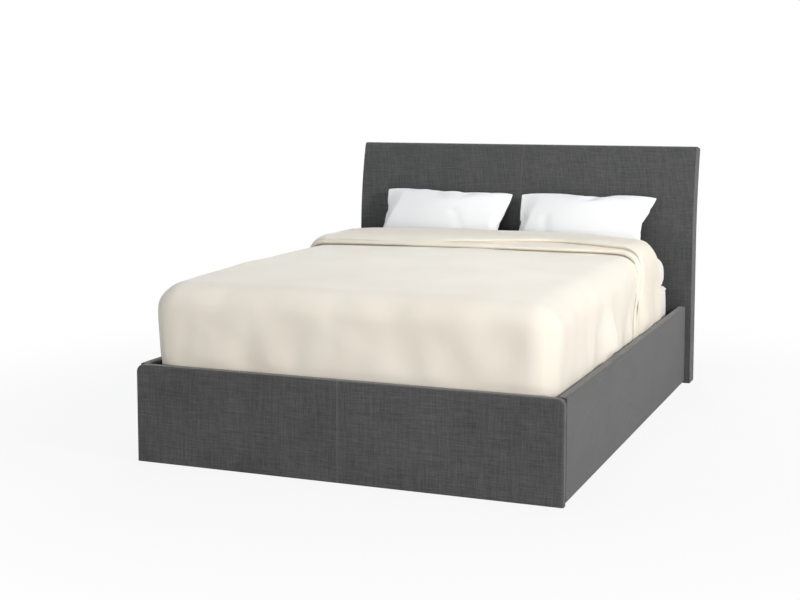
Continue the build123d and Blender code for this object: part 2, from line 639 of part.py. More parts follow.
def strut_plane(side, place, turn, distance):
    direction = (turn * STRUT_RUN[0] / STRUT_LENGTH, turn * STRUT_RUN[1] / STRUT_LENGTH)
    start = (side * STRUT_LAYER, place[0] + direction[0] * distance, place[1] + direction[1] * distance)
    return Plane(start, z_dir=(0, *direction))


def round_bar(plane, radius, length):
    with BuildPart() as bar:
        with BuildSketch(plane):
            Circle(radius)
        extrude(amount=length)
    return bar.part


for name, side in SIDES:
    eye = turned(side, STRUT_STUD, ((STRUT_EYE_INNER, STRUT_EYE_OUTER, STRUT_EYE_RADIUS),))
    pin_hole = ((STRUT_EYE_INNER - OVERRUN, STRUT_EYE_OUTER + OVERRUN, STRUT_STUD_RADIUS + RUNNING_FIT),)
    barrel = strut_plane(side, STRUT_STUD, 1, STRUT_NECK_LENGTH)
    chamber = strut_plane(side, STRUT_STUD, 1, STRUT_NECK_LENGTH + STRUT_GLAND_LENGTH)
    with BuildPart() as strut_cylinder:
        add(round_bar(barrel, STRUT_TUBE_RADIUS, STRUT_TUBE_END - STRUT_NECK_LENGTH))
        fillet(strut_cylinder.edges().filter_by(GeomType.CIRCLE), STRUT_TUBE_WALL)
        add(eye)
        add(round_bar(strut_plane(side, STRUT_STUD, 1, 0), STRUT_NECK_RADIUS, STRUT_NECK_LENGTH + OVERRUN))
        chamber_length = STRUT_TUBE_END - STRUT_NECK_LENGTH - 2 * STRUT_GLAND_LENGTH
        add(round_bar(chamber, STRUT_BORE, chamber_length), mode=Mode.SUBTRACT)
        add(round_bar(chamber, STRUT_ROD_RADIUS + STRUT_PLAY, STRUT_TUBE_END), mode=Mode.SUBTRACT)
        add(turned(side, STRUT_STUD, pin_hole), mode=Mode.SUBTRACT)
    strut_cylinder.part.label = f"{name}_strut_cylinder"
    export_step(strut_cylinder.part, f"parts/{name}_strut_cylinder.step")

    piston = strut_plane(side, STRUT_EYE, -1, STRUT_ROD_LENGTH - STRUT_PISTON_LENGTH)
    with BuildPart() as strut_rod:
        add(turned(side, STRUT_EYE, ((STRUT_EYE_INNER, STRUT_EYE_OUTER, STRUT_EYE_RADIUS),)))
        add(round_bar(strut_plane(side, STRUT_EYE, -1, 0), STRUT_ROD_RADIUS, STRUT_ROD_LENGTH))
        add(round_bar(piston, STRUT_BORE - STRUT_PLAY, STRUT_PISTON_LENGTH))
        add(turned(side, STRUT_EYE, pin_hole), mode=Mode.SUBTRACT)
    strut_rod.part.label = f"{name}_strut_rod"
    export_step(strut_rod.part, f"parts/{name}_strut_rod.step")


# Platform frame of square tube
def square_tube(start, direction, length):
    with BuildPart() as tube:
        with BuildSketch(Plane(start, z_dir=direction)):
            RectangleRounded(TUBE, TUBE, TUBE_ROUND)
            RectangleRounded(TUBE_BORE, TUBE_BORE, TUBE_ROUND - TUBE_WALL, mode=Mode.SUBTRACT)
        extrude(amount=length)
    return tube.part


SIDE_TUBE_X = PLATFORM_SIDE - TUBE / 2
INNER_TUBE_SIDE = PLATFORM_SIDE - TUBE
PLATE_BOLT_SPOTS = [
    (FRONT_EYE[0] + LIFT_STRIP_LENGTH * (share - LIFT_STRIP_FOOT_SHARE), TUBE_MIDDLE)
    for share in LIFT_BOLT_SHARES
]
with BuildPart() as lift_plate_bolts:
    for _, side in SIDES:
        strip_plane = Plane((side * LIFT_PLATE_FACE, 0, 0), x_dir=(0, 1, 0), z_dir=(side, 0, 0))
        add(bolts(strip_plane, [(y, side * z) for y, z in PLATE_BOLT_SPOTS]))
lift_plate_bolts.part.label = "lift_plate_bolts"
export_step(lift_plate_bolts.part, "parts/lift_plate_bolts.step")

for name, side in SIDES:
    with BuildPart() as platform_tube:
        start = (side * SIDE_TUBE_X, PLATFORM_FOOT + END_CAP, TUBE_MIDDLE)
        add(square_tube(start, (0, 1, 0), PLATFORM_LENGTH - 2 * END_CAP))
        add(lift_plate_bolts.part, mode=Mode.SUBTRACT)
    platform_tube.part.label = f"{name}_platform_tube"
    export_step(platform_tube.part, f"parts/{name}_platform_tube.step")

END_TUBES = (("foot", PLATFORM_FOOT + TUBE / 2), ("head", PLATFORM_HEAD - TUBE / 2))
for name, tube_y in END_TUBES:
    end_tube = square_tube((-INNER_TUBE_SIDE, tube_y, TUBE_MIDDLE), (1, 0, 0), 2 * INNER_TUBE_SIDE)
    end_tube.label = f"{name}_platform_tube"
    export_step(end_tube, f"parts/{name}_platform_tube.step")

centre_tube = square_tube((0, PLATFORM_FOOT + TUBE, TUBE_MIDDLE), (0, 1, 0), PLATFORM_LENGTH - 2 * TUBE)
centre_tube.label = "centre_platform_tube"
export_step(centre_tube, "parts/centre_platform_tube.step")

CROSS_TUBE_LENGTH = INNER_TUBE_SIDE - TUBE / 2
with BuildPart() as cross_tubes:
    for share in CROSS_TUBE_SHARES:
        for start_x in (-INNER_TUBE_SIDE, TUBE / 2):
            start = (start_x, PLATFORM_FOOT + share * PLATFORM_LENGTH, TUBE_MIDDLE)
            add(square_tube(start, (1, 0, 0), CROSS_TUBE_LENGTH))
cross_tubes.part.label = "cross_tubes"
export_step(cross_tubes.part, "parts/cross_tubes.step")

with BuildPart() as tube_end_caps:
    for _, side in SIDES:
        for cap_y, inward in ((PLATFORM_FOOT, 1), (PLATFORM_HEAD, -1)):
            with BuildSketch(Plane((side * SIDE_TUBE_X, cap_y, TUBE_MIDDLE), z_dir=(0, inward, 0))):
                RectangleRounded(TUBE, TUBE, TUBE_ROUND)
            extrude(amount=END_CAP)
            plug_start = (side * SIDE_TUBE_X, cap_y + inward * END_CAP, TUBE_MIDDLE)
            with BuildSketch(Plane(plug_start, z_dir=(0, inward, 0))):
                RectangleRounded(TUBE_BORE, TUBE_BORE, TUBE_ROUND - TUBE_WALL)
            extrude(amount=END_CAP_PLUG)
tube_end_caps.part.label = "tube_end_caps"
export_step(tube_end_caps.part, "parts/tube_end_caps.step")

# Lift plates bolted to the side tubes, with their studs and rings
for name, side in SIDES:
    with BuildPart() as lift_plate:
        plate_plane = Plane.YZ.offset(min(side * PLATFORM_SIDE, side * LIFT_PLATE_FACE))
        with BuildSketch(plate_plane):
            with Locations(FRONT_EYE, REAR_EYE, STRUT_EYE):
                Circle(LIFT_PLATE_MARGIN)
            make_hull()
        extrude(amount=LIFT_STEEL)
        with BuildSketch(plate_plane):
            strip_middle = FRONT_EYE[0] - LIFT_STRIP_LENGTH * LIFT_STRIP_FOOT_SHARE + LIFT_STRIP_LENGTH / 2
            with Locations((strip_middle, TUBE_MIDDLE)):
                Rectangle(LIFT_STRIP_LENGTH, TUBE)
        extrude(amount=LIFT_STEEL)
        add(lift_plate_bolts.part, mode=Mode.SUBTRACT)
    lift_plate.part.label = f"{name}_lift_plate"
    export_step(lift_plate.part, f"parts/{name}_lift_plate.step")

FRONT_EYE_TIP = FRONT_ARM_OUTER + RING_THICKNESS + STUD_END
REAR_EYE_TIP = REAR_ARM_OUTER + RING_THICKNESS + STUD_END
with BuildPart() as lift_plate_studs:
    for _, side in SIDES:
        add(turned(side, FRONT_EYE, ((LIFT_PLATE_FACE, FRONT_ARM_INNER, STUD_COLLAR_RADIUS),
                                     (FRONT_ARM_INNER, FRONT_EYE_TIP, STUD_RADIUS))))
        add(turned(side, REAR_EYE, ((LIFT_PLATE_FACE, REAR_ARM_INNER, STUD_COLLAR_RADIUS),
                                    (REAR_ARM_INNER, REAR_EYE_TIP, STUD_RADIUS))))
        add(turned(side, STRUT_EYE, ((STRUT_EYE_OUTER, PLATFORM_SIDE, STUD_COLLAR_RADIUS),
                                     (STRUT_STUD_TIP, STRUT_EYE_OUTER, STRUT_STUD_RADIUS))))
lift_plate_studs.part.label = "lift_plate_studs"
export_step(lift_plate_studs.part, "parts/lift_plate_studs.step")

with BuildPart() as lift_plate_rings:
    for _, side in SIDES:
        add(retaining_ring(side, FRONT_EYE, FRONT_ARM_OUTER, STUD_RADIUS))
        add(retaining_ring(side, REAR_EYE, REAR_ARM_OUTER, STUD_RADIUS))
        add(retaining_ring(side, STRUT_EYE, STRUT_EYE_INNER - RING_THICKNESS, STRUT_STUD_RADIUS))
lift_plate_rings.part.label = "lift_plate_rings"
export_step(lift_plate_rings.part, "parts/lift_plate_rings.step")

# Sprung slats and the holders of their ends
SLAT_BOTTOM = TUBE_TOP + SLAT_LIFT
SLAT_PITCH = (PLATFORM_LENGTH - 2 * SLAT_FIRST_INSET) / (SLAT_COUNT - 1)
SLAT_PLACES = [PLATFORM_FOOT + SLAT_FIRST_INSET + index * SLAT_PITCH for index in range(SLAT_COUNT)]
SLAT_OUTER_END = SIDE_TUBE_X - HOLDER_WIDTH / 2 + SLAT_INSERTION
SLAT_INNER_END = CENTRE_HOLDER_WIDTH / 2 - SLAT_INSERTION
SLAT_MIDDLE = (SLAT_OUTER_END + SLAT_INNER_END) / 2
for name, side in SIDES:
    with BuildPart() as slats:
        for place in SLAT_PLACES:
            with BuildSketch(Plane.XZ.offset(-(place - SLAT_WIDTH / 2))):
                with BuildLine():
                    lower = ThreePointArc(
                        (side * SLAT_INNER_END, SLAT_BOTTOM),
                        (side * SLAT_MIDDLE, SLAT_BOTTOM + SLAT_BOW),
                        (side * SLAT_OUTER_END, SLAT_BOTTOM),
                    )
                    upper = ThreePointArc(
                        (side * SLAT_INNER_END, SLAT_BOTTOM + SLAT_THICKNESS),
                        (side * SLAT_MIDDLE, SLAT_TOP),
                        (side * SLAT_OUTER_END, SLAT_BOTTOM + SLAT_THICKNESS),
                    )
                    Line(lower @ 0, upper @ 0)
                    Line(lower @ 1, upper @ 1)
                make_face()
            extrude(amount=-SLAT_WIDTH)
    slats.part.label = f"{name}_slats"
    export_step(slats.part, f"parts/{name}_slats.step")

POCKET_WIDTH = SLAT_WIDTH + 2 * HOLDER_PLAY
POCKET_DEPTH = SLAT_INSERTION + HOLDER_PLAY
for name, side in SIDES:
    pocket_x = side * (SIDE_TUBE_X - HOLDER_WIDTH / 2 + POCKET_DEPTH / 2)
    with BuildPart() as slat_holders:
        with BuildSketch(Plane.XY.offset(TUBE_TOP)):
            with Locations(*[(side * SIDE_TUBE_X, place) for place in SLAT_PLACES]):
                Rectangle(HOLDER_WIDTH, HOLDER_LENGTH)
        extrude(amount=HOLDER_HEIGHT)
        with BuildSketch(Plane.XY.offset(SLAT_BOTTOM)):
            with Locations(*[(pocket_x, place) for place in SLAT_PLACES]):
                Rectangle(POCKET_DEPTH, POCKET_WIDTH)
        extrude(amount=HOLDER_POCKET, mode=Mode.SUBTRACT)
    slat_holders.part.label = f"{name}_slat_holders"
    export_step(slat_holders.part, f"parts/{name}_slat_holders.step")

with BuildPart() as centre_slat_holders:
    with BuildSketch(Plane.XY.offset(TUBE_TOP)):
        with Locations(*[(0, place) for place in SLAT_PLACES]):
            Rectangle(CENTRE_HOLDER_WIDTH, HOLDER_LENGTH)
    extrude(amount=HOLDER_HEIGHT)
    with BuildSketch(Plane.XY.offset(SLAT_BOTTOM)):
        for _, side in SIDES:
            pocket_x = side * (CENTRE_HOLDER_WIDTH - POCKET_DEPTH) / 2
            with Locations(*[(pocket_x, place) for place in SLAT_PLACES]):
                Rectangle(POCKET_DEPTH, POCKET_WIDTH)
    extrude(amount=HOLDER_POCKET, mode=Mode.SUBTRACT)
centre_slat_holders.part.label = "centre_slat_holders"
export_step(centre_slat_holders.part, "parts/centre_slat_holders.step")

# Bars that keep the mattress from sliding off the raised platform
STOP_BAR_LINE = STOP_BAR_TOP - STOP_BAR_RADIUS
with BuildPart() as stop_bars:
    for _, side in SIDES:
        low_x = side * (PLATFORM_SIDE - STOP_BAR_INSET - STOP_BAR_WIDTH / 2) - STOP_BAR_WIDTH / 2
        high_x = low_x + STOP_BAR_WIDTH
        with BuildLine() as path:
            FilletPolyline(
                (low_x, PLATFORM_FOOT, TUBE_MIDDLE),
                (low_x, FOOT_GAP_MIDDLE, TUBE_MIDDLE),
                (low_x, FOOT_GAP_MIDDLE, STOP_BAR_LINE),
                (high_x, FOOT_GAP_MIDDLE, STOP_BAR_LINE),
                (high_x, FOOT_GAP_MIDDLE, TUBE_MIDDLE),
                (high_x, PLATFORM_FOOT, TUBE_MIDDLE),
                radius=STOP_BAR_BEND,
            )
        with BuildSketch(Plane((low_x, PLATFORM_FOOT, TUBE_MIDDLE), z_dir=(0, -1, 0))):
            Circle(STOP_BAR_RADIUS)
        sweep(path=path.line)
stop_bars.part.label = "mattress_stop_bars"
export_step(stop_bars.part, "parts/mattress_stop_bars.step")

# Pull strap at the foot, a loop with both tails on the foot tube
STRAP_TAIL_Y = PLATFORM_FOOT - STRAP_THICKNESS
STRAP_LOOP_MIDDLE = STRAP_TOP - STRAP_LOOP_HEIGHT / 2
STRAP_LOOP_LOW = STRAP_TOP - STRAP_LOOP_HEIGHT + STRAP_LOOP_DEPTH
with BuildPart() as pull_strap:
    strap_plane = Plane.YZ.offset(-STRAP_WIDTH / 2)
    with BuildSketch(strap_plane):
        with Locations((STRAP_TAIL_Y, TUBE_TOP - STRAP_THICKNESS), (FOOT_GAP_MIDDLE, STRAP_LOOP_LOW)):
            Circle(STRAP_THICKNESS)
        make_hull()
        with Locations((FOOT_GAP_MIDDLE, STRAP_LOOP_MIDDLE)):
            SlotOverall(STRAP_LOOP_HEIGHT, STRAP_LOOP_DEPTH, rotation=90)
        with Locations((STRAP_TAIL_Y, TUBE_MIDDLE)):
            Rectangle(2 * STRAP_THICKNESS, TUBE - 2 * STRAP_THICKNESS)
        with Locations((FOOT_GAP_MIDDLE, STRAP_LOOP_MIDDLE)):
            SlotOverall(STRAP_LOOP_HEIGHT - 2 * STRAP_THICKNESS, STRAP_LOOP_DEPTH - 2 * STRAP_THICKNESS,
                        rotation=90, mode=Mode.SUBTRACT)
    extrude(amount=STRAP_WIDTH)
pull_strap.part.label = "pull_strap"
export_step(pull_strap.part, "parts/pull_strap.step")


# Bedding
def bedding_block(width, length, bottom, top, top_round, bottom_round):
    with BuildPart() as block:
        with BuildSketch(Plane.XY.offset(bottom)):
            with Locations((0, MATTRESS_MIDDLE)):
                RectangleRounded(width, length, MATTRESS_CORNER)
        extrude(amount=top - bottom)
        fillet(block.faces().sort_by(Axis.Z)[-1].edges(), top_round)
        fillet(block.faces().sort_by(Axis.Z)[0].edges(), bottom_round)
    return block.part


mattress = bedding_block(
    MATTRESS_WIDTH, MATTRESS_LENGTH, MATTRESS_BOTTOM, PAD_BOTTOM, MATTRESS_EDGE_ROUND, MATTRESS_EDGE_ROUND
)
mattress.label = "mattress"
export_step(mattress, "parts/mattress.step")

top_pad = bedding_block(
    MATTRESS_WIDTH - 2 * PAD_INSET,
    MATTRESS_LENGTH - 2 * PAD_INSET,
    PAD_BOTTOM,
    PAD_TOP,
    PAD_TOP_ROUND,
    PAD_BOTTOM_ROUND,
)
top_pad.label = "mattress_top_pad"
export_step(top_pad, "parts/mattress_top_pad.step")

DUVET_FOOT = INNER_FOOT + DUVET_FOOT_GAP
DUVET_HEAD = HEAD - DUVET_HEAD_GAP


def duvet_length(start_y, end_y, shoulder, shoulder_angle, top):
    side_x = MATTRESS_WIDTH / 2 + DUVET_SIDE_WALL
    with BuildPart() as length:
        with BuildSketch(Plane.XZ.offset(-start_y)):
            with BuildLine():
                right_side = Line((side_x, DUVET_HEM_HEIGHT), (side_x, DUVET_SIDE_TOP))
                right = CenterArc((side_x - shoulder, DUVET_SIDE_TOP), shoulder, 0, shoulder_angle)
                left = CenterArc((shoulder - side_x, DUVET_SIDE_TOP), shoulder, 180, -shoulder_angle)
                ThreePointArc(right @ 1, (0, top), left @ 1)
                left_side = Line(left @ 0, (-side_x, DUVET_HEM_HEIGHT))
                Line(left_side @ 1, right_side @ 0)
            make_face()
        extrude(amount=start_y - end_y)
    return length.part


# The turned-back head end of the duvet, made first and then joined to the rest
with BuildPart() as duvet_fold:
    fold_start = DUVET_HEAD - FOLD_LENGTH
    add(duvet_length(fold_start, DUVET_HEAD, FOLD_SHOULDER, FOLD_SHOULDER_ANGLE, DUVET_TOP + FOLD_RISE))
    for end_face in (duvet_fold.faces().sort_by(Axis.Y)[0], duvet_fold.faces().sort_by(Axis.Y)[-1]):
        fillet(end_face.edges().sort_by(Axis.Z)[1:], FOLD_EDGE_ROUND)

with BuildPart() as duvet:
    body_end = DUVET_HEAD - FOLD_EDGE_ROUND
    add(duvet_length(DUVET_FOOT, body_end, DUVET_SHOULDER, DUVET_SHOULDER_ANGLE, DUVET_TOP))
    fillet(duvet.faces().sort_by(Axis.Y)[0].edges().sort_by(Axis.Z)[1:], DUVET_FOOT_ROUND)
    add(duvet_fold.part)
    add(bedding_block(
        MATTRESS_WIDTH + 2 * SOFT_GAP,
        MATTRESS_LENGTH + 2 * SOFT_GAP,
        DUVET_HEM_HEIGHT - MATTRESS_EDGE_ROUND - OVERRUN,
        PAD_TOP + SOFT_GAP,
        PAD_TOP_ROUND,
        MATTRESS_EDGE_ROUND,
    ), mode=Mode.SUBTRACT)
duvet.part.label = "duvet"
export_step(duvet.part, "parts/duvet.step")

# Pillows leaning on the headboard, crowned in the middle and drawn in along their long edges
PILLOW_FOOT = (HEAD - PILLOW_FOOT_FROM_HEADBOARD, PAD_TOP + SOFT_GAP)
PILLOW_TOP = (HEAD - PILLOW_TOP_FROM_HEADBOARD, PILLOW_TOP_HEIGHT)
PILLOW_LEAN = (PILLOW_TOP[0] - PILLOW_FOOT[0], PILLOW_TOP[1] - PILLOW_FOOT[1])
PILLOW_LENGTH = hypot(*PILLOW_LEAN)
PILLOW_CENTRE = ((PILLOW_FOOT[0] + PILLOW_TOP[0]) / 2, (PILLOW_FOOT[1] + PILLOW_TOP[1]) / 2)
PILLOW_SECTIONS = list(zip(PILLOW_STATION_SHARES, PILLOW_THICKNESS_SHARES, PILLOW_DRAW_IN_SHARES))
for name, side in SIDES:
    with BuildPart() as pillow:
        for station, crown, draw_in in PILLOW_SECTIONS:
            half_length = PILLOW_LENGTH * (1 - draw_in) / 2
            belly = (PILLOW_END_THICKNESS + (PILLOW_THICKNESS - PILLOW_END_THICKNESS) * crown) / 2
            station_x = side * PILLOW_SPACING / 2 + station * PILLOW_WIDTH / 2
            with BuildSketch(Plane((station_x, *PILLOW_CENTRE), x_dir=(0, *PILLOW_LEAN), z_dir=(1, 0, 0))):
                with BuildLine():
                    ThreePointArc((-half_length, 0), (0, belly), (half_length, 0))
                    ThreePointArc((half_length, 0), (0, -belly), (-half_length, 0))
                make_face()
        loft()
    pillow.part.label = f"{name}_pillow"
    export_step(pillow.part, f"parts/{name}_pillow.step")
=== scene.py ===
from math import cos, pi, radians, sin

import bpy
import numpy as np
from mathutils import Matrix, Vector, noise


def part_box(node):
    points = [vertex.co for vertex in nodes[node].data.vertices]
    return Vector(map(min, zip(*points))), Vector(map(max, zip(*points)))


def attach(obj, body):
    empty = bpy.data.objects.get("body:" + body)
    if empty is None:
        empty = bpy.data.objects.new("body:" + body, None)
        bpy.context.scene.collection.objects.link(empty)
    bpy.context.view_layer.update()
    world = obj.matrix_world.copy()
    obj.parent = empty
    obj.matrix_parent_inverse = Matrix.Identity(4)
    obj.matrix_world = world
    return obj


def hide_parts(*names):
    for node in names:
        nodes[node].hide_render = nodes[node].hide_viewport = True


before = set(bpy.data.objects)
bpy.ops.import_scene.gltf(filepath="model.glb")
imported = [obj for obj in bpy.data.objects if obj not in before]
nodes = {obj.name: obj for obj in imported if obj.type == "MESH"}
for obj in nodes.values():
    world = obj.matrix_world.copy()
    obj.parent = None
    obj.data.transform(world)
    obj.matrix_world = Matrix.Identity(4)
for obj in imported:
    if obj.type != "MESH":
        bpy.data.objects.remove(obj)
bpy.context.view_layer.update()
scene = bpy.context.scene

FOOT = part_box("foot_panel_cover")[0].y
RAIL_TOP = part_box("left_side_rail_cover")[1].z
RAIL_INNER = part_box("right_side_rail_cover")[0].x
TINY = 1e-9


# Meshes

def make_object(name, points, faces, *looks):
    mesh = bpy.data.meshes.new(name)
    mesh.from_pydata([tuple(p) for p in points], [], [tuple(f) for f in faces])
    mesh.validate()
    for look in looks:
        mesh.materials.append(look)
    mesh.polygons.foreach_set("use_smooth", [True] * len(mesh.polygons))
    mesh.update()
    obj = bpy.data.objects.new(name, mesh)
    scene.collection.objects.link(obj)
    return obj


def read_points(mesh):
    points = np.zeros(len(mesh.vertices) * 3)
    mesh.vertices.foreach_get("co", points)
    return points.reshape(-1, 3)


def write_points(mesh, points):
    mesh.vertices.foreach_set("co", points.astype(np.float32).ravel())
    mesh.update()


def place(obj, body, slot, *replaced):
    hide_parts(*replaced)
    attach(obj, body)


def subdivide(obj):
    modifier = obj.modifiers.new("smooth", "SUBSURF")
    modifier.levels = 1
    modifier.render_levels = 1
    return obj


def ease(value, low, high):
    """0 below low, 1 above high, smooth between."""
    t = np.clip((value - low) / (high - low), 0.0, 1.0)
    return t * t * (3 - 2 * t)


EDGE_PITCH = 0.012


def spread(low, high, count, edge):
    """Coordinates from low to high, closer together within edge of both ends."""
    steps = max(2, round(edge / EDGE_PITCH))
    inner = np.linspace(low + edge, high - edge, count)
    start = np.linspace(low, low + edge, steps, endpoint=False)
    end = np.linspace(high - edge, high, steps + 1)[1:]
    return np.concatenate([start, inner, end])


def puff(points, scale, seed):
    """Smooth noise, about -1 to 1, at each point."""
    offset = Vector((seed * 3.7, seed * 1.9, seed * 5.3))
    return np.array([noise.noise(Vector(p) * scale + offset) for p in points])


def block_grid(low, high, cells):
    """Welded points and quads on the surface of a block, with the cells of each axis."""
    lists = [spread(low[k], high[k], *cells[k]) for k in range(3)]
    index, points, quads = {}, [], []
    for axis in range(3):
        u, v = (axis + 1) % 3, (axis + 2) % 3
        for side in (0, len(lists[axis]) - 1):
            for i in range(len(lists[u]) - 1):
                for j in range(len(lists[v]) - 1):
                    ring = []
                    for di, dj in ((0, 0), (1, 0), (1, 1), (0, 1)):
                        key = [0, 0, 0]
                        key[axis], key[u], key[v] = side, i + di, j + dj
                        key = tuple(key)
                        if key not in index:
                            index[key] = len(points)
                            points.append([lists[k][key[k]] for k in range(3)])
                        ring.append(index[key])
                    quads.append(ring if side else ring[::-1])
    return np.array(points), quads


def round_block(points, low, high, plan, top, bottom):
    """Rounds a block's corners: radius plan at the upright edges, top and bottom at the others."""
    centre, half = (low + high) / 2, (high - low) / 2
    p = points - centre
    core = np.clip(p[:, :2], -(half[:2] - plan), half[:2] - plan)
    out = p[:, :2] - core
    reach = np.linalg.norm(out, axis=1)
    flat = np.abs(out).max(axis=1)
    safe = np.where(reach > TINY, reach, 1)
    direction = out / safe[:, None]
    wall = plan - flat
    for edge, sign in ((top, 1), (bottom, -1)):
        rise = np.maximum(sign * p[:, 2] - (half[2] - edge), 0)
        side = np.maximum(edge - wall, 0)
        length = np.hypot(rise, side)
        share = np.maximum(rise, side) / np.where(length > TINY, length, 1)
        active = (rise > 0) & (side > 0)
        wall = np.where(active, edge - side * share, wall)
        level = sign * (half[2] - edge + rise * share)
        p[:, 2] = np.where(active, level, p[:, 2])
    p[:, :2] = core + direction * (plan - wall)[:, None]
    return p + centre, direction


# Materials

TOP_FACING = 0.72  # upright part of a normal above which cloth lies level
LINEN_PITCH = 0.0024
RIB_PITCH = 0.004
PICK_PITCH = 0.0022
# Painted highlight: the linen is drawn pale along its seams, as if the lips of the seams' grooves
# caught the light. The headboard's outer seams get less of it.
SEAM_OUT = 0.41825  # headboard's outer seams, from the middle
SEAM_HIGHLIGHT_HALF = 0.0030
SIDE_SEAM_HIGHLIGHT = 0.62


def add_node(tree, kind, sockets=None, **settings):
    """A new node with its settings. Each of its sockets gets a value or a link."""
    made = tree.nodes.new(kind)
    for key, value in settings.items():
        setattr(made, key, value)
    for key, value in (sockets or {}).items():
        if isinstance(value, bpy.types.NodeSocket):
            tree.links.new(value, made.inputs[key])
        else:
            made.inputs[key].default_value = value
    return made


class Surface:
    """One node material around a Principled shader."""

    def __init__(self, name, **sockets):
        self.material = bpy.data.materials.new(name)
        self.material.use_nodes = True
        self.tree = self.material.node_tree
        self.shader = self.tree.nodes["Principled BSDF"]
        for key, value in sockets.items():
            self.shader.inputs[key.replace("_", " ")].default_value = value
        self.object_point = self.node("ShaderNodeTexCoord").outputs["Object"]

    def node(self, kind, sockets=None, **settings):
        return add_node(self.tree, kind, sockets, **settings)

    def math(self, operation, *values):
        return self.node("ShaderNodeMath", dict(enumerate(values)), operation=operation).outputs[0]

    def stretched(self, point, x, y, z):
        sockets = {0: point, 1: (x, y, z)}
        return self.node("ShaderNodeVectorMath", sockets, operation="MULTIPLY").outputs[0]

    def noise(self, point, scale=1.0, detail=2.0, roughness=0.5):
        sockets = {"Vector": point, "Scale": scale, "Detail": detail, "Roughness": roughness}
        return self.node("ShaderNodeTexNoise", sockets).outputs[0]

    def mixed(self, factor, dark, light):
        sockets = {0: factor, 6: (*dark, 1), 7: (*light, 1)}
        return self.node("ShaderNodeMix", sockets, data_type="RGBA").outputs[2]

    def mapped(self, value, low, high, to_low=0.0, to_high=1.0):
        sockets = {
            "Value": value, "From Min": low, "From Max": high, "To Min": to_low, "To Max": to_high
        }
        return self.node("ShaderNodeMapRange", sockets).outputs[0]

    def colour(self, tone, low, high, dark, light):
        """Base colour from dark, where tone is at low, to light, where it is at high."""
        mixed = self.mixed(self.mapped(tone, low, high), dark, light)
        self.tree.links.new(mixed, self.shader.inputs["Base Color"])

    def rough(self, factor, low, high):
        mapped = self.mapped(factor, 0.0, 1.0, low, high)
        self.tree.links.new(mapped, self.shader.inputs["Roughness"])

    def bump(self, *layers):
        """layers are (height, strength, distance); the last one is the finest."""
        normal = None
        for height, strength, distance in layers:
            sockets = {"Height": height, "Strength": strength, "Distance": distance}
            if normal is not None:
                sockets["Normal"] = normal
            normal = self.node("ShaderNodeBump", sockets).outputs[0]
        self.tree.links.new(normal, self.shader.inputs["Normal"])

    def cloth_axes(self):
        """The two thread directions in metres: across and up, or both level on a top."""
        facing = self.node("ShaderNodeTexCoord").outputs["Normal"]
        split = self.node("ShaderNodeSeparateXYZ", {0: self.object_point}).outputs
        up = self.node("ShaderNodeSeparateXYZ", {0: facing}).outputs[2]
        level = self.math("GREATER_THAN", self.math("ABSOLUTE", up), TOP_FACING)
        around = self.math("ADD", split[0], split[1])
        across = self.blended(level, around, split[0])
        along = self.blended(level, split[2], split[1])
        return across, along

    def blended(self, share, start, end):
        return self.math("MULTIPLY_ADD", share, self.math("SUBTRACT", end, start), start)

    def thread_noise(self, across, along, fine, coarse, seed):
        first = self.math("MULTIPLY", across, fine)
        second = self.math("MULTIPLY", along, coarse)
        warp = self.node("ShaderNodeCombineXYZ", {0: first, 1: second, 2: seed}).outputs[0]
        return self.noise(warp, 1.0, 2.0, 0.6)

    def weave(self, across, along, pitch):
        """Height of a plain weave."""
        first = self.math("SINE", self.math("MULTIPLY", across, 2 * pi / pitch))
        second = self.math("SINE", self.math("MULTIPLY", along, 2 * pi / pitch))
        return self.math("MULTIPLY", first, second)


def linen(name, dark, light):
    """Woven linen look: crossed slubs of thicker thread, mottling, a fine weave, and a painted
    highlight that draws the seams pale.
    """
    look = Surface(
        name, Roughness=0.92, Sheen_Weight=0.35, Sheen_Roughness=0.40, Specular_IOR_Level=0.25
    )
    across, along = look.cloth_axes()
    warp = look.thread_noise(across, along, 210.0, 9.0, 1.3)
    weft = look.thread_noise(across, along, 8.0, 240.0, 7.9)
    warp_fine = look.thread_noise(across, along, 620.0, 34.0, 3.1)
    weft_fine = look.thread_noise(across, along, 34.0, 680.0, 5.7)
    mottle = look.noise(look.object_point, 5.0, 3.0, 0.55)
    threads = look.math("ADD", look.math("ADD", warp, weft), look.math("ADD", warp_fine, weft_fine))
    tone = look.math("MULTIPLY_ADD", mottle, 0.55, threads)
    # Painted highlight along the seams: a pale line down the middle, and a fainter one on the
    # headboard's outer seams.
    split = look.node("ShaderNodeSeparateXYZ", {0: look.object_point}).outputs
    head = look.math("GREATER_THAN", split[1], 0.0)
    apart = look.math("ABSOLUTE", split[0])
    off_middle = look.math("ABSOLUTE", look.math("SUBTRACT", apart, SEAM_OUT))
    side_seam_highlight = look.math("MULTIPLY", head, look.math("LESS_THAN", off_middle, SEAM_HIGHLIGHT_HALF))
    side_seam_highlight = look.math("MULTIPLY", side_seam_highlight, SIDE_SEAM_HIGHLIGHT)
    seam_highlight = look.math("MAXIMUM", look.math("LESS_THAN", apart, SEAM_HIGHLIGHT_HALF), side_seam_highlight)
    look.colour(look.math("MAXIMUM", look.mapped(tone, 1.72, 2.88), seam_highlight), 0.0, 1.0, dark, light)
    look.rough(warp_fine, 0.86, 0.98)
    weave = look.weave(across, along, LINEN_PITCH)
    look.bump((look.math("ADD", warp, weft), 0.35, 0.0012), (weave, 0.35, 0.0004))
    return look.material


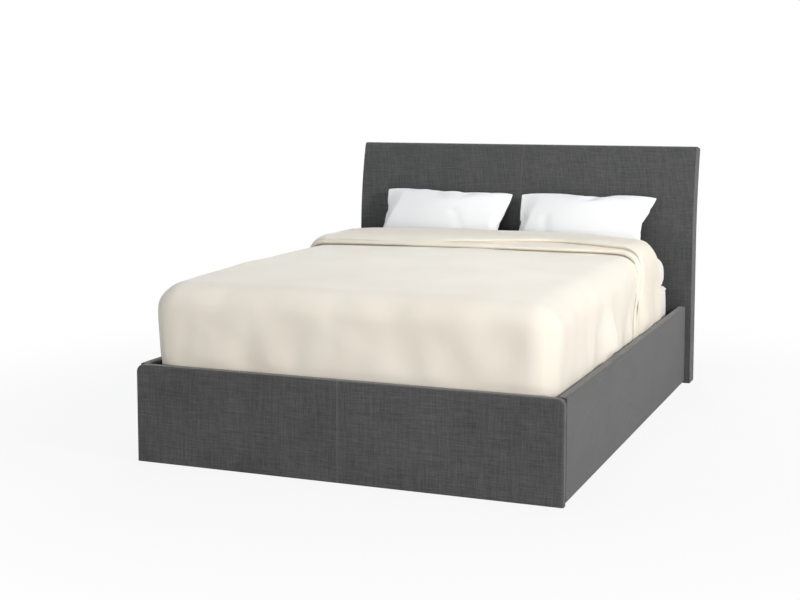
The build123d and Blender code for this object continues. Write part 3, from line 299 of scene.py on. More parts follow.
def soft_cloth(name, dark, light, pitch, wrinkle):
    """Smooth bedding cloth: a fine plain weave, faint large blotches and small creases."""
    look = Surface(name, Roughness=0.9, Sheen_Weight=0.15, Sheen_Roughness=0.6, Specular_IOR_Level=0.2)
    across, along = look.cloth_axes()
    blotch = look.noise(look.object_point, 3.2, 3.0, 0.55)
    warp = look.thread_noise(across, along, 900.0, 40.0, 2.3)
    weft = look.thread_noise(across, along, 40.0, 900.0, 6.1)
    tone = look.math("MULTIPLY_ADD", look.math("ADD", warp, weft), 0.18, blotch)
    look.colour(tone, 0.38, 0.98, dark, light)
    look.rough(warp, 0.84, 0.96)
    creases = look.noise(look.stretched(look.object_point, 1.0, 1.0, 0.6), 9.0, 4.0, 0.55)
    look.bump((creases, wrinkle, 0.012), (look.weave(across, along, pitch), 0.15, 0.0003))
    return look.material


def wood(name, dark, light, stretch, gloss):
    """Sawn or planed wood, its grain drawn out by stretch."""
    look = Surface(name, Roughness=0.6, Specular_IOR_Level=0.4)
    grain = look.noise(look.stretched(look.object_point, *stretch), 1.0, 5.0, 0.6)
    fleck = look.noise(look.stretched(look.object_point, *[4.0 * k for k in stretch]), 1.0, 2.0, 0.5)
    tone = look.math("MULTIPLY_ADD", fleck, 0.35, grain)
    look.colour(tone, 0.42, 0.92, dark, light)
    look.rough(fleck, gloss, gloss + 0.22)
    look.bump((grain, 0.25, 0.0006), (fleck, 0.2, 0.0002))
    return look.material


def metal(name, dark, light, metallic, low, high, grain_scale, strength):
    """Coated, plated or chromed steel, with a roughness between low and high."""
    look = Surface(name, Metallic=metallic, Roughness=high)
    cloud = look.noise(look.object_point, 14.0, 4.0, 0.6)
    grain = look.noise(look.object_point, grain_scale, 2.0, 0.5)
    look.colour(cloud, 0.3, 0.75, dark, light)
    look.rough(cloud, low, high)
    look.bump((grain, strength, 0.0004))
    return look.material


def moulded(name, dark, light, low, high):
    """Moulded plastic or rubber, with a fine grain."""
    look = Surface(name, Roughness=high, Specular_IOR_Level=0.4)
    cloud = look.noise(look.object_point, 30.0, 3.0, 0.5)
    grain = look.noise(look.object_point, 900.0, 1.0, 0.5)
    look.colour(cloud, 0.3, 0.7, dark, light)
    look.rough(cloud, low, high)
    look.bump((grain, 0.2, 0.0003))
    return look.material


def webbing(name, dark, light):
    """Ribbed webbing or lining cloth."""
    look = Surface(name, Roughness=0.8, Sheen_Weight=0.2)
    split = look.node("ShaderNodeSeparateXYZ", {0: look.object_point}).outputs
    ribs = look.math("SINE", look.math("MULTIPLY", split[0], 2 * pi / RIB_PITCH))
    lengthways = look.math("ADD", split[2], split[1])
    picks = look.math("SINE", look.math("MULTIPLY", lengthways, 2 * pi / PICK_PITCH))
    weave = look.math("MULTIPLY", ribs, picks)
    look.colour(weave, -1.0, 1.0, dark, light)
    look.rough(look.noise(look.object_point, 200.0), 0.7, 0.9)
    look.bump((weave, 0.5, 0.0006))
    return look.material


def board_face(name, dark, light):
    """Pressed board: fine fibres in every direction."""
    look = Surface(name, Roughness=0.8, Specular_IOR_Level=0.3)
    fibre = look.noise(look.object_point, 260.0, 4.0, 0.65)
    cloud = look.noise(look.object_point, 6.0, 3.0, 0.6)
    tone = look.math("MULTIPLY_ADD", fibre, 0.6, cloud)
    look.colour(tone, 0.5, 1.05, dark, light)
    look.rough(fibre, 0.7, 0.9)
    look.bump((fibre, 0.2, 0.0003))
    return look.material


DUVET = soft_cloth(
    "duvet_cotton", (0.785, 0.73, 0.635), (0.845, 0.80, 0.72), pitch=0.0016, wrinkle=0.10
)
DUVET_REVERSE = soft_cloth(
    "duvet_reverse", (0.78, 0.72, 0.615), (0.83, 0.775, 0.68), pitch=0.0016, wrinkle=0.08
)
PILLOW = soft_cloth(
    "pillow_cotton", (0.82, 0.82, 0.825), (0.88, 0.88, 0.885), pitch=0.0012, wrinkle=0.10
)
TICKING = soft_cloth(
    "mattress_ticking", (0.78, 0.775, 0.76), (0.86, 0.855, 0.84), pitch=0.0030, wrinkle=0.06
)

materials = {
    "upholstery": linen("charcoal_linen", (0.040, 0.0405, 0.0415), (0.112, 0.113, 0.1145)),
    "back_cloth": webbing("lining_cloth", (0.018, 0.018, 0.02), (0.045, 0.045, 0.048)),
    "board": wood("sawn_board", (0.40, 0.27, 0.14), (0.62, 0.47, 0.29), (9.0, 9.0, 60.0), 0.6),
    "floor_board": board_face("grey_hardboard", (0.22, 0.21, 0.20), (0.36, 0.35, 0.33)),
    "glide": moulded("glide_plastic", (0.02, 0.02, 0.02), (0.04, 0.04, 0.04), 0.5, 0.7),
    "buffer": moulded("rubber", (0.018, 0.018, 0.018), (0.035, 0.035, 0.035), 0.75, 0.9),
    "coated_steel": metal(
        "black_powder_coat", (0.022, 0.022, 0.025), (0.045, 0.046, 0.05),
        metallic=0.0, low=0.38, high=0.55, grain_scale=700.0, strength=0.25,
    ),
    "plated_steel": metal(
        "zinc_plate", (0.50, 0.50, 0.47), (0.72, 0.72, 0.70),
        metallic=1.0, low=0.28, high=0.45, grain_scale=300.0, strength=0.1,
    ),
    "strut_rod": metal(
        "chromed_rod", (0.72, 0.72, 0.73), (0.80, 0.80, 0.81),
        metallic=1.0, low=0.07, high=0.14, grain_scale=120.0, strength=0.02,
    ),
    "plastic": moulded("black_plastic", (0.022, 0.022, 0.024), (0.042, 0.042, 0.045), 0.42, 0.6),
    "slat": wood("beech_slat", (0.56, 0.38, 0.21), (0.74, 0.57, 0.38), (5.0, 120.0, 120.0), 0.35),
    "strap": webbing("black_webbing", (0.02, 0.02, 0.022), (0.07, 0.07, 0.075)),
}
for obj in nodes.values():
    for index, old in enumerate(obj.data.materials):
        found = materials.get(old.name.split(".")[0]) if old else None
        if found:
            obj.data.materials[index] = found


# Mattress and top pad

TAPE_STEPS = 8
# For each axis, the steps between the edges and the width of the edges, which have finer steps.
MATTRESS_CELLS = ((44, 0.06), (60, 0.06), (7, 0.03))
MATTRESS_CORNER = 0.06
MATTRESS_EDGE = 0.022
MATTRESS_TAPE = 0.0045
TAPE_FROM_EDGE = 0.014
TAPE_CORNER = 0.056
WALL_BORDER = 0.01
WALL_SUNK = 0.006
WALL_CROWN = 0.005
WALL_SWAY = 0.0015
QUILT_PITCH = 0.12
QUILT_DEPTH = 0.005
QUILT_FROM, QUILT_FULL = 0.03, 0.10  # from the mattress's sides
NEAR = 0.002  # a point within this of the underside or the top lies on it
PAD_CELLS = ((56, 0.06), (74, 0.06), (6, 0.045))
PAD_CORNER = 0.07
PAD_TOP_EDGE = 0.058
PAD_LOW_EDGE = 0.034
PAD_TAPE = 0.004
PAD_TAPE_CORNER = 0.06
PAD_SWAY = 0.0035
TUFT_PITCH = 0.17
TUFT_DEPTH = 0.004


def border_tape(name, low, high, inset, corner, level, radius):
    """A round tape sewn round the block from low to high, inset from its sides."""
    core_x = high[0] - inset - corner
    low_y, high_y = low[1] + inset + corner, high[1] - inset - corner
    corners = (
        (core_x, low_y, -90), (core_x, high_y, 0), (-core_x, high_y, 90), (-core_x, low_y, 180)
    )
    points, faces = [], []
    for centre_x, centre_y, first in corners:
        for k in range(TAPE_STEPS + 1):
            turn = radians(first + 90 * k / TAPE_STEPS)
            for j in range(TAPE_STEPS):
                angle = 2 * pi * j / TAPE_STEPS
                out = corner + radius * cos(angle)
                height = level + radius * sin(angle)
                points.append((centre_x + out * cos(turn), centre_y + out * sin(turn), height))
    count = len(points) // TAPE_STEPS
    for i in range(count):
        this, other = i * TAPE_STEPS, (i + 1) % count * TAPE_STEPS
        for k in range(TAPE_STEPS):
            m = (k + 1) % TAPE_STEPS
            faces.append((other + k, other + m, this + m, this + k))
    tape = subdivide(make_object(name, points, faces, TICKING))
    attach(tape, "platform")


def make_mattress():
    """Walls sunk between their borders, and a quilted underside."""
    low, high = (np.array(c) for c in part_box("mattress"))
    points, quads = block_grid(low, high, MATTRESS_CELLS)
    points, direction = round_block(
        points, low, high, MATTRESS_CORNER, MATTRESS_EDGE, MATTRESS_EDGE
    )
    x, y, z = points.T
    share = (z - low[2]) / (high[2] - low[2])
    wall = (z > low[2] + WALL_BORDER) & (z < high[2] - WALL_BORDER)
    panel = np.sin(pi * np.clip(share, 0, 1)) ** 0.7
    sway = puff(points, 6.0, 1.0)
    out = np.where(wall, WALL_CROWN * panel - WALL_SUNK + WALL_SWAY * sway, 0)
    points[:, :2] += direction * out[:, None]
    rows = np.abs(np.sin((x + y) * pi / QUILT_PITCH) * np.sin((x - y) * pi / QUILT_PITCH))
    inside = ease(high[0] - np.abs(x), QUILT_FROM, QUILT_FULL)
    points[:, 2] += np.where(z < low[2] + NEAR, QUILT_DEPTH * (1 - rows ** 0.35) * inside, 0)
    obj = subdivide(make_object("mattress_body", points, quads, TICKING))
    place(obj, "platform", "mattress", "mattress")
    lower, upper = low[2] + TAPE_FROM_EDGE, high[2] - TAPE_FROM_EDGE
    for name, level in (("mattress_lower_tape", lower), ("mattress_upper_tape", upper)):
        border_tape(name, low, high, MATTRESS_TAPE, TAPE_CORNER, level, MATTRESS_TAPE)


def make_pad():
    """A soft top pad with rounded edges and a tufted top."""
    low, high = (np.array(c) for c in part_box("mattress_top_pad"))
    points, quads = block_grid(low, high, PAD_CELLS)
    points, direction = round_block(points, low, high, PAD_CORNER, PAD_TOP_EDGE, PAD_LOW_EDGE)
    x, y, z = points.T
    share = np.clip((z - low[2]) / (high[2] - low[2]), 0, 1)
    sway = puff(points * (1.0, 1.0, 2.0), 7.0, 4.0)
    points[:, :2] += direction * (PAD_SWAY * sway * np.sin(pi * share))[:, None]
    tuft = 0.5 + 0.5 * np.cos(x * 2 * pi / TUFT_PITCH) * np.cos(y * 2 * pi / TUFT_PITCH)
    top = ease(z, high[2] - 2 * NEAR, high[2] - NEAR / 2)
    points[:, 2] -= top * TUFT_DEPTH * tuft ** 3
    obj = subdivide(make_object("top_pad", points, quads, TICKING))
    place(obj, "platform", "mattress", "mattress_top_pad")
    level = low[2] + 3 * PAD_TAPE
    border_tape("top_pad_tape", low, high, 2 * PAD_TAPE, PAD_TAPE_CORNER, level, PAD_TAPE)


# Duvet

COVER, LINING = 0, 1  # the duvet's two materials
PAD_LEVEL = 0.6125
DUVET_HALF = 0.762
DUVET_FOOT = FOOT + 0.037
DUVET_HEM = 0.315
DUVET_EDGE_TOP = 0.675
DUVET_ROUND = 0.100
FOLD_ROUND = 0.088
FOLD_RISE = 0.038
INNER_HALF = 0.7516
INNER_FOOT = FOOT + 0.0487
INNER_TOP = PAD_LEVEL
INNER_ROUND = 0.05
CROWN = 0.014
CROWN_HALF = 0.70
SIDE_TUCK = 0.008
FOOT_DROP = 0.018
FOLD_OUT = 0.006
HEAD_ROUND = 0.055
CREASE_DEPTH = 0.020
LIP_START = 0.010
LIP_HEIGHT = 0.505
LIP_SHORT = 0.012  # how much less far the rows reach to the second lip where it is soft

# How far the filling and the cloth swell, in metres at full noise
BROAD_SWELL = 0.0055
SMALL_SWELL = 0.0030
DENT = 0.0060
FALL = 0.0110  # folds that fall to the rails
RIGHT_FALL = 0.052
FACE_SWELL = 0.003
SIDE_SWELL = 0.009
LEFT_SWELL = 0.008
RAIL_CLEAR = 0.004
RAIL_LAP = 2.4  # slope of the limit on the bulges over a rail
RAIL_LAP_START = 0.007

# Lines across the duvet, from its middle down each side: how far from the bed's foot the fold's
# crease and the head edge run, and how far past the crease the second lip does.
CREASE = (
    (-1.10, 1.372), (-0.95, 1.362), (-0.80, 1.345), (-0.668, 1.333), (-0.434, 1.313),
    (-0.191, 1.303), (0.077, 1.318), (0.30, 1.336), (0.46, 1.365), (0.58, 1.398), (0.66, 1.402),
    (0.74, 1.388), (0.82, 1.372), (0.90, 1.360), (0.96, 1.330), (1.10, 1.280),
)
SECOND_LIP = (
    (-1.10, 0.012), (-0.30, 0.014), (-0.10, 0.026), (0.05, 0.062), (0.19, 0.140), (0.31, 0.175),
    (0.42, 0.160), (0.52, 0.105), (0.60, 0.062), (0.68, 0.040), (0.78, 0.030), (0.90, 0.022),
    (1.10, 0.018),
)
HEAD_EDGE = (
    (-1.10, 1.800), (-0.90, 1.760), (-0.76, 1.720), (-0.66, 1.755), (-0.352, 1.838), (0.0, 1.845),
    (0.269, 1.845), (0.486, 1.815), (0.62, 1.770), (0.70, 1.735), (0.77, 1.705), (0.85, 1.742),
    (0.93, 1.805), (1.00, 1.830), (1.10, 1.845),
)
# Rows over the crease: distance from it, share of the fold's height, share of the swells.
CREASE_ROWS = (
    (0.004, 0.0, 0.6), (0.013, 0.0, 0.0), (0.020, 0.02, 0.0), (0.018, 0.06, 0.0),
    (0.006, 0.07, 0.3), (-0.004, 0.12, 1.0), (-0.009, 0.24, 1.0), (-0.008, 0.36, 1.0),
    (-0.001, 0.46, 1.0), (LIP_START, LIP_HEIGHT, 1.0),
)
# Rows over the second lip: distance and height where the lip is tucked, then where it is soft.
LIP_ROWS = (
    (0.004, 0.52, 0.001, 0.55), (0.006, 0.56, 0.005, 0.61), (-0.001, 0.62, 0.011, 0.68),
    (-0.005, 0.71, 0.019, 0.75), (-0.003, 0.81, 0.029, 0.82), (0.007, 0.90, 0.042, 0.89),
    (0.022, 0.96, 0.058, 0.95), (0.045, 1.0, 0.080, 1.0),
)


def curve_value(table, where):
    """A smooth line through the table's points."""
    xs = np.array([k[0] for k in table])
    ys = np.array([k[1] for k in table])
    slopes = np.gradient(ys, xs)
    i = np.clip(np.searchsorted(xs, where) - 1, 0, len(xs) - 2)
    h = xs[i + 1] - xs[i]
    t = np.clip((where - xs[i]) / h, 0, 1)
    return (
        (2 * t ** 3 - 3 * t ** 2 + 1) * ys[i] + (t ** 3 - 2 * t ** 2 + t) * h * slopes[i]
        + (3 * t ** 2 - 2 * t ** 3) * ys[i + 1] + (t ** 3 - t ** 2) * h * slopes[i + 1]
    )


def drape(x, y, z, half, foot, top, radius):
    """Takes points of a sharp block, open at the head end, to a block with its edges rounded."""
    px = np.abs(x)
    side = np.maximum(px - (half - radius), 0)
    front = np.maximum(foot + radius - y, 0)
    core_x = px - side
    core_y = y + front
    flat = np.maximum(side, front)
    reach = np.hypot(side, front)
    safe = np.where(reach > TINY, reach, 1)
    rise = np.maximum(z - (top - radius), 0)
    length = np.hypot(flat, rise)
    share = np.where(length > TINY, np.maximum(flat, rise) / np.where(length > TINY, length, 1), 1)
    active = (flat > 0) & (rise > 0)
    out = np.where(active, flat * share, flat)
    level = np.where(active, top - radius + rise * share, z)
    new_x = np.sign(x) * (core_x + side / safe * out)
    new_y = core_y - front / safe * out
    return np.stack([new_x, new_y, level], axis=-1)


def crowned(points):
    """Raises the top towards the middle."""
    across = np.clip(np.abs(points[..., 0]) / CROWN_HALF, 0, 1)
    height = ease(points[..., 2], 0.60, 0.65)
    lengthways = ease(points[..., 1], DUVET_FOOT, DUVET_FOOT + 0.30)
    points[..., 2] += CROWN * (1 - across ** 2) * height * (0.55 + 0.45 * lengthways)
    return points


def outer_surface(x, y, z):
    """The cover where it lies flat: tucked in beside the fold, lower towards the foot."""
    points = drape(x, y, z, DUVET_HALF, DUVET_FOOT, DUVET_EDGE_TOP, DUVET_ROUND)
    beside_fold = ease(y, FOOT + 1.05, FOOT + 1.30)
    tucked = SIDE_TUCK * beside_fold * ease(-z, -DUVET_EDGE_TOP, 0.05 - DUVET_EDGE_TOP)
    points[..., 0] -= np.sign(x) * tucked * ease(np.abs(points[..., 0]), 0.66, 0.75)
    near_foot = ease(-y, -FOOT - 0.70, -FOOT - 0.05)
    points[..., 2] -= FOOT_DROP * near_foot * ease(z, 0.42, DUVET_EDGE_TOP + 0.03)
    return crowned(points)


def fold_surface(x, y, z):
    """The cover where it is folded back, raised on top and standing out at the sides."""
    bulge = FOLD_OUT * ease(z, 0.365, 0.42)
    raised = z + FOLD_RISE * ease(z, 0.48, DUVET_EDGE_TOP)
    points = drape(x, y, raised, DUVET_HALF, DUVET_FOOT, DUVET_EDGE_TOP + FOLD_RISE, FOLD_ROUND)
    points[..., 0] += np.sign(x) * bulge * ease(np.abs(points[..., 0]), 0.60, 0.74)
    points[..., 2] += FOLD_OUT * ease(np.abs(x), 0.35, 0.62) * ease(z, 0.60, DUVET_EDGE_TOP)
    return crowned(points)


def inner_surface(x, y, z):
    """The lining, which lies on the mattress and the pad."""
    squeezed = DUVET_HEM + (z - DUVET_HEM) * (INNER_TOP - DUVET_HEM) / (DUVET_EDGE_TOP - DUVET_HEM)
    scaled_x = x * INNER_HALF / DUVET_HALF
    at_foot = ease(-y, -DUVET_FOOT - 0.1, -DUVET_FOOT)
    shifted_y = np.maximum(y, DUVET_FOOT) + (INNER_FOOT - DUVET_FOOT) * at_foot
    return drape(scaled_x, shifted_y, squeezed, INNER_HALF, INNER_FOOT, INNER_TOP, INNER_ROUND)


def duvet_rows(unrolled):
    """The cover's rows from the foot to the head edge, and where that edge runs. A row is its place
    along the bed, its share of the fold's height, its share of the swells and its cloth."""
    crease = FOOT + curve_value(CREASE, unrolled)
    second = crease + curve_value(SECOND_LIP, unrolled)
    head = FOOT + curve_value(HEAD_EDGE, unrolled)
    tucked = ease(unrolled, -0.25, 0.02)

    flat_shares = np.concatenate([
        np.linspace(0, 0.09, 9, endpoint=False), np.linspace(0.09, 0.965, 62), [0.978, 0.988]
    ])
    flat_length = crease + CREASE_DEPTH - DUVET_FOOT
    rows = [(DUVET_FOOT + flat_length * t, 0.0, 1.0, COVER) for t in flat_shares]
    rows += [(crease + offset, height, show, LINING) for offset, height, show in CREASE_ROWS]
    reach = np.maximum(second - crease - LIP_START - LIP_SHORT * (1 - tucked), 0.001)
    for t in (0.30, 0.55, 0.78, 0.92):
        rows.append((crease + LIP_START + reach * t, LIP_HEIGHT + 0.01 * t, 1.0, LINING))
    for offset, height, soft, soft_height in LIP_ROWS:
        place_y = second + soft + (offset - soft) * tucked
        rows.append((place_y, soft_height + (height - soft_height) * tucked, 1.0, LINING))
    start = rows[-1][0]
    for t in np.linspace(0, 1, 17)[1:]:
        rows.append((start + (head - HEAD_ROUND - start) * t, 1.0, 1.0, LINING))
    return rows, head


def duvet_strip(xs, zs):
    """Rows of points over the cover, round the head edge and back below as the lining. With them
    go their shares of the swells, their cloths and how many rows lie outside."""
    side = np.full(len(zs) - 1, DUVET_HALF)
    column_x = np.concatenate([-side, xs, side])
    column_z = np.concatenate([zs[:-1], np.full(len(xs), DUVET_EDGE_TOP), zs[:-1][::-1]])
    unrolled = column_x + np.sign(column_x) * (DUVET_EDGE_TOP - column_z)
    rows, head = duvet_rows(unrolled)

    points, weights, cloths = [], [], []
    for y, height, weight, cloth in rows:
        low = outer_surface(column_x, y, column_z)
        high = fold_surface(column_x, y, column_z)
        height = np.reshape(height, (-1, 1))
        points.append(low * (1 - height) + high * height)
        weights.append(weight)
        cloths.append(cloth)
    last = points[-1].copy()
    inner_end = inner_surface(column_x, head - HEAD_ROUND, column_z)
    for angle in np.linspace(0, pi, 9)[1:]:
        share = (1 - cos(angle)) / 2
        row = last * (1 - share) + inner_end * share
        row[:, 1] = head - HEAD_ROUND + HEAD_ROUND * sin(angle)
        points.append(row)
        weights.append(1 - share)
    outside = len(points)
    for t in np.linspace(1, 0, 31)[1:]:
        y = DUVET_FOOT + (head - HEAD_ROUND - DUVET_FOOT) * t ** 1.2
        points.append(inner_surface(column_x, y, column_z))
        weights.append(0.0)
    cloths += [LINING] * (len(points) - len(cloths))
    return points, weights, cloths, outside


def side_hem(points, line, outside):
    """Triangles that join the ends of the cover's rows to those of the lining's. All of these ends
    are in line, from the foot round the head edge and back."""
    left, right = 0, len(line) - 1
    while right - left > 1:
        behind = points[line[left + 1]][1] <= points[line[right - 1]][1]
        if (behind and left + 1 < outside) or right - 1 < outside:
            yield line[left], line[left + 1], line[right]
            left += 1
        else:
            yield line[left], line[right - 1], line[right]
            right -= 1


def make_duvet():
    """The strip of cover and lining, a foot face of each, and the hems between the two."""
    zs = np.concatenate([
        np.linspace(DUVET_HEM, DUVET_EDGE_TOP - DUVET_ROUND, 15),
        np.linspace(DUVET_EDGE_TOP - DUVET_ROUND, DUVET_EDGE_TOP, 7)[1:],
    ])
    xs = np.concatenate([
        np.linspace(-DUVET_HALF, DUVET_ROUND - DUVET_HALF, 6, endpoint=False),
        np.linspace(DUVET_ROUND - DUVET_HALF, DUVET_HALF - DUVET_ROUND, 60),
        np.linspace(DUVET_HALF - DUVET_ROUND, DUVET_HALF, 7)[1:],
    ])
    rows, row_weights, row_cloths, outside = duvet_strip(xs, zs)
    total, count = len(rows), len(rows[0])
    points = [point for row in rows for point in row]
    weights = [weight for weight in row_weights for _ in range(count)]
    faces, cloths = [], []
    for j in range(total - 1):
        for i in range(count - 1):
            a, b = j * count + i, (j + 1) * count + i
            faces.append((a, a + 1, b + 1, b))
            cloths.append(row_cloths[j])

    def foot_face(surface, row, cloth):
        """A face welded to a row of the strip along its sides and top. Returns its hem."""
        grid = {}
        for i, x in enumerate(xs):
            for k, z in enumerate(zs):
                if k == len(zs) - 1:
                    grid[i, k] = row * count + len(zs) - 1 + i
                elif i == 0:
                    grid[i, k] = row * count + k
                elif i == len(xs) - 1:
                    grid[i, k] = row * count + count - 1 - k
                else:
                    grid[i, k] = len(points)
                    points.append(surface(np.array([x]), np.array([DUVET_FOOT]), np.array([z]))[0])
                    weights.append(0.0 if cloth == LINING else 1.0)
        for i in range(len(xs) - 1):
            for k in range(len(zs) - 1):
                ring = (grid[i, k], grid[i + 1, k], grid[i + 1, k + 1], grid[i, k + 1])
                faces.append(ring[::-1] if cloth == LINING else ring)
                cloths.append(cloth)
        return [grid[i, 0] for i in range(len(xs))]

    outer_hem = foot_face(outer_surface, 0, COVER)
    inner_hem = foot_face(inner_surface, total - 1, LINING)
    for i in range(len(xs) - 1):
        faces.append((outer_hem[i + 1], outer_hem[i], inner_hem[i], inner_hem[i + 1]))
    for column, step in ((0, -1), (count - 1, 1)):
        line = range(column, total * count, count)
        faces += [ring[::step] for ring in side_hem(points, line, outside)]
    cloths += [COVER] * (len(faces) - len(cloths))

    obj = make_object("duvet_cover", points, faces, DUVET, DUVET_REVERSE)
    obj.data.polygons.foreach_set("material_index", cloths)
    shape_duvet(obj, np.array(weights))
    subdivide(obj)
    place(obj, "platform", "duvet", "duvet")


def shape_duvet(obj, weight):
    """Soft swells of the filling, dents in the foot face and folds that run down to the rails."""
    mesh = obj.data
    points = read_points(mesh)
    normals = np.zeros(points.size)
    mesh.vertex_normals.foreach_get("vector", normals)
    normals = normals.reshape(-1, 3)
    x, y, z = points.T.copy()
    level = normals[:, 2] ** 2
    aside = normals[:, 0] ** 2
    broad = puff(points, 2.6, 2.0)
    medium = puff(points * (1.0, 0.7, 1.3), 6.5, 9.0)
    swell = BROAD_SWELL * broad * (0.5 + 0.5 * level) + SMALL_SWELL * medium
    dents = puff(points * (1.0, 1.0, 0.8), 7.5, 15.0)
    dents += 0.45 * puff(points * (1.0, 1.0, 0.9), 15.0, 27.0)

    on_side = np.abs(normals[:, 0]) > 0.6
    run = np.where(on_side, y, x)
    folds = puff(np.stack([run * 7.5, z * 1.6, np.sign(x) * on_side * 3.0], axis=1), 1.0, 6.0)
    low = ease(-z, -0.62, -0.40)
    right = ease(x, 0.70, 0.75) * ease(y, FOOT + 0.45, FOOT + 0.80)
    waves = FALL * folds + RIGHT_FALL * right * np.maximum(folds, -0.20)
    swell += (1 - level) * (DENT * dents + low * waves)

    before_fold = ease(-y, -FOOT - 1.30, -FOOT - 1.10)
    bulge = np.sin(pi * np.clip((z - 0.32) / 0.40, 0, 1)) ** 0.6
    side_bulge = (SIDE_SWELL + LEFT_SWELL * (x < 0)) * before_fold * aside
    swell += (1 - level) * (FACE_SWELL + side_bulge) * bulge
    free = ease(z + 0.03 * aside, RAIL_TOP + 0.003, RAIL_TOP + 0.030)
    swell = np.where(swell > 0, swell * free, swell * (0.35 + 0.65 * free))
    points += normals * (swell * weight)[:, None]

    # Between the rails the cover stays clear of them, and above them it may bulge out.
    above = np.maximum(points[:, 2] - RAIL_TOP - RAIL_LAP_START, 0)
    limit = RAIL_INNER - RAIL_CLEAR + RAIL_LAP * above
    points[:, 0] = np.sign(points[:, 0]) * np.minimum(np.abs(points[:, 0]), limit)
    write_points(mesh, points)


# Pillows

PILLOW_CELLS = (72, 38)
PILLOW_THICK = 0.112
PILLOW_BOW = 0.215
PILLOW_FLAT_BOW = 0.012
PILLOW_PIVOT_Y = 0.7935
PILLOW_CLEAR_SLOPE = 1.70
PILLOW_FOOT = np.array([FOOT + 1.950, PAD_LEVEL])
PILLOW_TIP = np.array([FOOT + 2.126, 0.882])
PILLOW_NECK = 0.036
CASE_DOME = 0.030
CASE_RIPPLE = 0.003
CREASE_DIP = 0.0045
CASE_WIDER = 1.015  # the case's width over its CAD solid's
CASE_DROP = 0.004
EAR_THIN = 0.30  # thickness kept in the front along the left edge
BELLY_LOW, BELLY_LOSS = 1.12, 0.30  # thickness at the bottom, and how much less it is at the top
SMOOTH_SHARE = 0.85
SMOOTH_FROM, SMOOTH_FULL = 0.10, 0.42  # above the middle, as shares of the length
SMOOTH_ROUNDS = 10
PRESSURE = 3.4
FRAMES = 18
CLOTH = {
    "quality": 8, "mass": 0.25, "tension_stiffness": 18, "compression_stiffness": 12,
    "shear_stiffness": 8, "bending_stiffness": 0.6, "air_damping": 4,
    "use_pressure": True, "uniform_pressure_force": PRESSURE,
}


def simulate(obj):
    """Fills the case with air for a few frames and keeps the result as its mesh."""
    cloth = obj.modifiers.new("Cloth", "CLOTH")
    for key, value in CLOTH.items():
        setattr(cloth.settings, key, value)
    cloth.settings.effector_weights.gravity = 0
    cloth.point_cache.frame_start = 1
    cloth.point_cache.frame_end = FRAMES
    scene.frame_start, scene.frame_end = 1, FRAMES
    for number in range(1, FRAMES + 1):
        scene.frame_set(number)
    depsgraph = bpy.context.evaluated_depsgraph_get()
    result = bpy.data.meshes.new_from_object(obj.evaluated_get(depsgraph))
    points = read_points(result)
    obj.modifiers.remove(cloth)
    scene.frame_set(1)
    write_points(obj.data, points)
    bpy.data.meshes.remove(result)


def soften(points, grids, weight, rounds):
    """Evens out the ripples across each pillow face, by weight at each point."""
    for _ in range(rounds):
        fresh = points.copy()
        for grid in grids:
            inner = grid[1:-1]
            mean = (points[grid[:-2]] + 2 * points[inner] + points[grid[2:]]) / 4
            fresh[inner] = points[inner] + weight[inner][..., None] * (mean - points[inner])
        points[:] = fresh


def groove(u, v, start, end, width):
    """1 on the line from start to end, fading to 0 away from it."""
    along = np.array(end) - np.array(start)
    t = np.clip(((u - start[0]) * along[0] + (v - start[1]) * along[1]) / (along @ along), 0, 1)
    gap = np.hypot(u - start[0] - t * along[0], v - start[1] - t * along[1])
    return np.exp(-(gap / width) ** 2)


def flat_case(width, length, seed):
    """The sewn case before it is filled: points, faces and one grid of indices for each face."""
    count_u, count_v = PILLOW_CELLS
    us, vs = np.linspace(-1, 1, count_u + 1), np.linspace(-1, 1, count_v + 1)
    index, points, faces = {}, [], []

    def at_edge(i, j):
        return i in (0, count_u) or j in (0, count_v)

    def vertex(i, j, face):
        key = (i, j, 0 if at_edge(i, j) else face)
        if key not in index:
            u, v = us[i], vs[j]
            x = u * width / 2 * (1.0 + PILLOW_FLAT_BOW * (1 - v * v) ** 0.8)
            z = v * length / 2 * (1.0 + PILLOW_BOW * (1 - u * u) ** 0.8)
            dome = CASE_DOME * (1 - u ** 4) * (1 - v ** 4)
            ripple = CASE_RIPPLE * noise.noise(Vector((u * 4 + seed, v * 3, face * 2.0)))
            index[key] = len(points)
            points.append((x, 0.0 if at_edge(i, j) else face * (dome + ripple), z))
        return index[key]

    for face in (-1, 1):
        for i in range(count_u):
            for j in range(count_v):
                corners = ((i, j), (i + 1, j), (i + 1, j + 1), (i, j + 1))
                ring = [vertex(*corner, face) for corner in corners]
                faces.append(ring if face < 0 else ring[::-1])
    grids = [
        np.array([[vertex(i, j, face) for j in range(count_v + 1)] for i in range(count_u + 1)])
        for face in (-1, 1)
    ]
    return points, faces, grids


def fit(values, size):
    """Scales values to span size, with their middle at zero."""
    values = values * size / (values.max() - values.min())
    return values - (values.max() + values.min()) / 2


